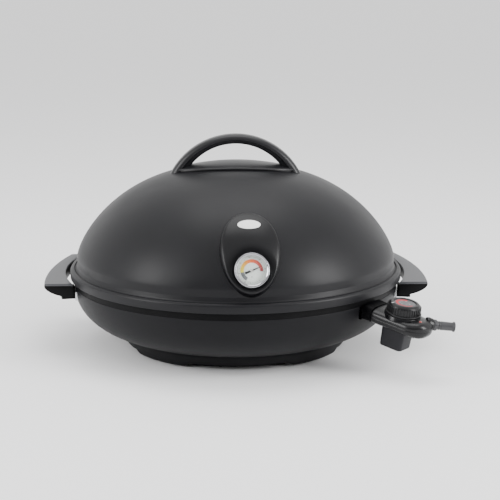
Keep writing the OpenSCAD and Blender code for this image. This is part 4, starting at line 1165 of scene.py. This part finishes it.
def make_controller():
    make_case("controller_case_upper", 1, "controller_upper")
    lower = make_case("controller_case_lower", -1, "controller_lower")
    nose = [
        [(x, y, z) for y, z in rounded_box(40.2 - d, 16.2 - d, 6)]
        for x, d in ((-11.5, 1.2), (-11.1, 0.3), (-10.5, 0), (0.5, 0))
    ]
    joined(lower, skin("nose", nose, PLUG))
    lower.data.polygons.foreach_set("use_smooth", [True] * len(lower.data.polygons))
    lower.data.set_sharp_from_angle(angle=math.radians(42))

    levels = []
    for z, inset, draft in (
        (-8.0, 0, 0), (-11, 0, 0), (-35.0, 0, 1.3), (-36.0, 0.25, 1.35), (-36.7, 0.8, 1.4),
        (-37, 1.7, 1.4),
    ):
        plan = rounded_box(35 - 2 * inset - draft, 30 - 2 * inset - draft, 5.4 - inset, 7)
        levels.append([(30.5 + x - draft * 0.2, y, z) for x, y in plan])
    fit(skin("switch_box", levels, PLUG), "controller", BOX_PLASTIC, "black_plastic", "controller_box")
    seats = [
        PLUG @ move(x, y, -CTRL_HALF_H + 1.8) @ turn("X", 180)
        for x in (10, CTRL_L - 16) for y in (-13, 13)
    ]
    screws("controller_screw_heads", seats, SMALL, 14, "controller", "controller_screws")

    sleeve = [
        (3.6, -6), (6, -6), (6, 0.3), (7.5, 0.3), (7.5, 4.3), (6.1, 4.6), (6.1, 6.0), (5.5, 6.3),
        (5.5, 7.2), (6.0, 7.5),
    ]
    sleeve += [
        (6.0, 8.8), (5.5, 9.1), (5.5, 10.0), (5.95, 10.3), (5.7, 26.4), (6.8, 27.6), (6.8, 29.3),
        (6.3, 29.5), (4.1, 29.5), (3.6, 29.0),
    ]
    tube = lathe(
        "cord_sleeve",
        fillet(
            sleeve, [0, 0.2, 0.2, 0.6, 0.6] + [0.25] * 8 + [0.4, 0.8, 0.8, 0.5, 0.1, 0.3, 0.2], 4,
            True,
        ),
        72, RELIEF, True,
    )
    fit(tube, "controller", RELIEF_RUBBER, "rubber", "strain_relief")

    lens = fillet(
        [(0, 4), (3.5, 4), (3.5, 6), (2, 6), (2, 11), (1.7, 11.9), (0, 12.4)],
        [0, 0.2, 0.2, 0.1, 0.3, 0.8, 0],
    )
    fit(
        lathe("pilot_lens", lens, 40, PLUG @ move(CTRL_L - 13, -6, 0)), "controller", LAMP_LENS,
        "lamp", "pilot_lamp",
    )


def make_knob():
    cap = [
        (0, 1.0), (18, 1.0), (18.5, 0.6), (23.6, 0.6), (24, 1.2), (24, 2.9), (22.0, 3.6),
        (21.7, 11.6), (21.0, 13.6), (18.6, 15.75), (16.4, 16.0),
    ]
    cap += [(15.2, 15.8), (14.75, 15.2), (14.75, 14.3), (0, 14.3)]
    shape = fillet(cap, [0, 0.2, 0.2, 0.4, 0.4, 0.5, 0.6, 1.5, 1.8, 1.2, 0.8, 0.4, 0.3, 0.1, 0], 5)
    body = lathe("knob_cap", shape, 160, KNOB)
    ribs = marks("knob_ribs", KNOB @ move(0, 0, 7.9), 40, 21.9, 0, 9, 1.7, 1.5, 9.4, -2.5, KNOB_PLASTIC)
    bevelled(ribs, 0.45, 2, 40)
    fit(joined(body, ribs), "knob", KNOB_PLASTIC, "knob_plastic", "knob")
    label = lathe(
        "knob_label_disc", [(0, 15.0), (14.2, 15.0), (LABEL_R, 14.85), (LABEL_R, 14.4), (0, 14.4)],
        96, KNOB,
    )
    disc_map(label, KNOB @ turn("Z", LABEL_TURN), LABEL_R)
    fit(label, "knob", LABEL_PRINT, "label", "knob_label")
    face = KNOB @ turn("Z", LABEL_TURN) @ move(0, 0, 15.0)
    figures = [figure(str(k), 3.4, face @ shown(*spot(6.4, 225 - 54 * k))) for k in range(6)]
    marker = marks(
        "knob_marker", KNOB @ turn("Z", LABEL_TURN) @ move(0, 0, 15.72), 1, 18.2, 180, 1, 3.4, 1.0,
        0.7, 0, KNOB_INK,
    )
    fit(joined(figures[0], *figures[1:], marker), "knob", KNOB_INK, "label")


make_base()
make_grips()
make_lid()
make_lid_handle()
make_gauge()
make_controller()
make_knob()

# Screws under the plate and on the reflector
screws(
    "reflector_screw_heads", [turn("Z", a) @ move(POST_AT, 0, 51) for a in POSTS], SMALL, 12,
    "base", "reflector_screws",
)
clips = [
    turn("Z", a - PLUG_TURN) @ move(ELEMENT_R + y, 0, 89) @ turn("X", 180)
    for a in (60, 120, 180, 240) for y in (-12, 12)
]
screws("clip_screw_heads", clips, SMALL, 4.5, "plate", "clip_screws")
tongue = [turn("Z", -PLUG_TURN) @ move(197.4, y, 84.5) @ turn("X", 180) for y in (-20, 20)]
screws("shroud_screw_heads", tongue, SMALL, 9, "plate", "shroud_screws")

# CAD nodes that keep their own mesh
KEPT = {
    "heat_reflector": SHEET,
    "drip_tray": SHEET,
    "grip_plates": BRACKET,
    "grill_plate": PLATE_COAT,
    "heating_element": ELEMENT_SHEATH,
    "element_clips": BRACKET,
    "terminal_pins": BRASS,
    "plug_shroud": SHROUD_PLASTIC,
    "handle_washers": STEEL,
    "gauge_case": STEEL,
    "gauge_lens": GLASS,
    "gauge_nut": STEEL,
    "probe": STEEL,
    "contact_sockets": BRASS,
    "thermostat_switch": CERAMIC,
    "knob_spindle": STEEL,
}
for node, finish in KEPT.items():
    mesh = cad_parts[node].data
    mesh.materials.clear()
    mesh.materials.append(finish)


# Studio
def make_studio():
    floor = bpy.data.meshes.new("floor")
    reach = 60.0
    floor.from_pydata(
        [(-reach, -reach, 0), (reach, -reach, 0), (reach, reach, 0), (-reach, reach, 0)], [],
        [(0, 1, 2, 3)],
    )
    ground = stand("floor", floor)
    pale = Finish("pale floor", Roughness=0.9, Base_Color=rgb(0.95, 0.95, 0.955), Specular_IOR_Level=0.1)
    floor.materials.append(pale.material)

    world = bpy.data.worlds.new("studio")
    bpy.context.scene.world = world
    world.use_nodes = True
    sky = Works(world.node_tree)
    back = world.node_tree.nodes["Background"]
    split = sky.node("ShaderNodeSeparateXYZ", {}, [sky.node("ShaderNodeTexCoord", out="Generated")], "Z")
    depth = sky.other(split, "Y")
    high = sky.node(
        "ShaderNodeMapRange", {"interpolation_type": "SMOOTHSTEP"},
        {"Value": split, "From Min": 0.15, "From Max": 0.75},
    )
    front = sky.node(
        "ShaderNodeMapRange", {"interpolation_type": "SMOOTHSTEP"},
        {"Value": depth, "From Min": 0.1, "From Max": -0.7},
    )
    soft = 1.0 - 0.9 * (front * (1.0 - high))
    lit = sky.node("ShaderNodeLightPath", out="Is Camera Ray")
    strength = (soft * (1.0 - lit) + lit) * 1.45
    sky.fill(back.inputs["Strength"], strength)
    back.inputs["Color"].default_value = rgb(1.0, 1.0, 1.0)

    def softbox(name, spot, aim, size, power):
        lamp = bpy.data.lights.new(name, "AREA")
        lamp.shape, lamp.size, lamp.size_y = "RECTANGLE", size[0], size[1]
        lamp.energy = power
        box = stand(name, lamp)
        box.location = spot
        box.rotation_mode = "QUATERNION"
        box.rotation_quaternion = (Vector(aim) - Vector(spot)).to_track_quat("-Z", "Y")

    softbox("left softbox", (-1.7, -0.9, 0.9), (0, 0, 0.15), (0.8, 1.2), 30)
    softbox("right softbox", (1.7, -0.9, 0.8), (0, 0, 0.15), (0.7, 1.2), 40)
    softbox("top softbox", (0, 0.3, 2.2), (0, 0, 0.2), (1.6, 1.2), 20)

    camera = stand("camera", bpy.data.cameras.new("camera"))
    # The view is as far to the left and above as the photograph's, and the shift
    # brings the grill to its place in a frame of 500 pixels.
    side, up, frame_pixels = math.radians(-1.5), math.radians(12.17), 500
    away = Vector((math.sin(side) * math.cos(up), -math.cos(side) * math.cos(up), math.sin(up)))
    camera.location = Vector((0, 0, 0.135)) + away * 2.0
    camera.rotation_mode = "QUATERNION"
    camera.rotation_quaternion = (-away).to_track_quat("-Z", "Y")
    camera.data.sensor_width = 36
    camera.data.lens = 1394 / frame_pixels * 36
    camera.data.shift_x = 14.5 / frame_pixels
    camera.data.shift_y = -1.2 / frame_pixels
    camera.data.clip_start, camera.data.clip_end = 0.1, 200
    bpy.context.scene.camera = camera


make_studio()
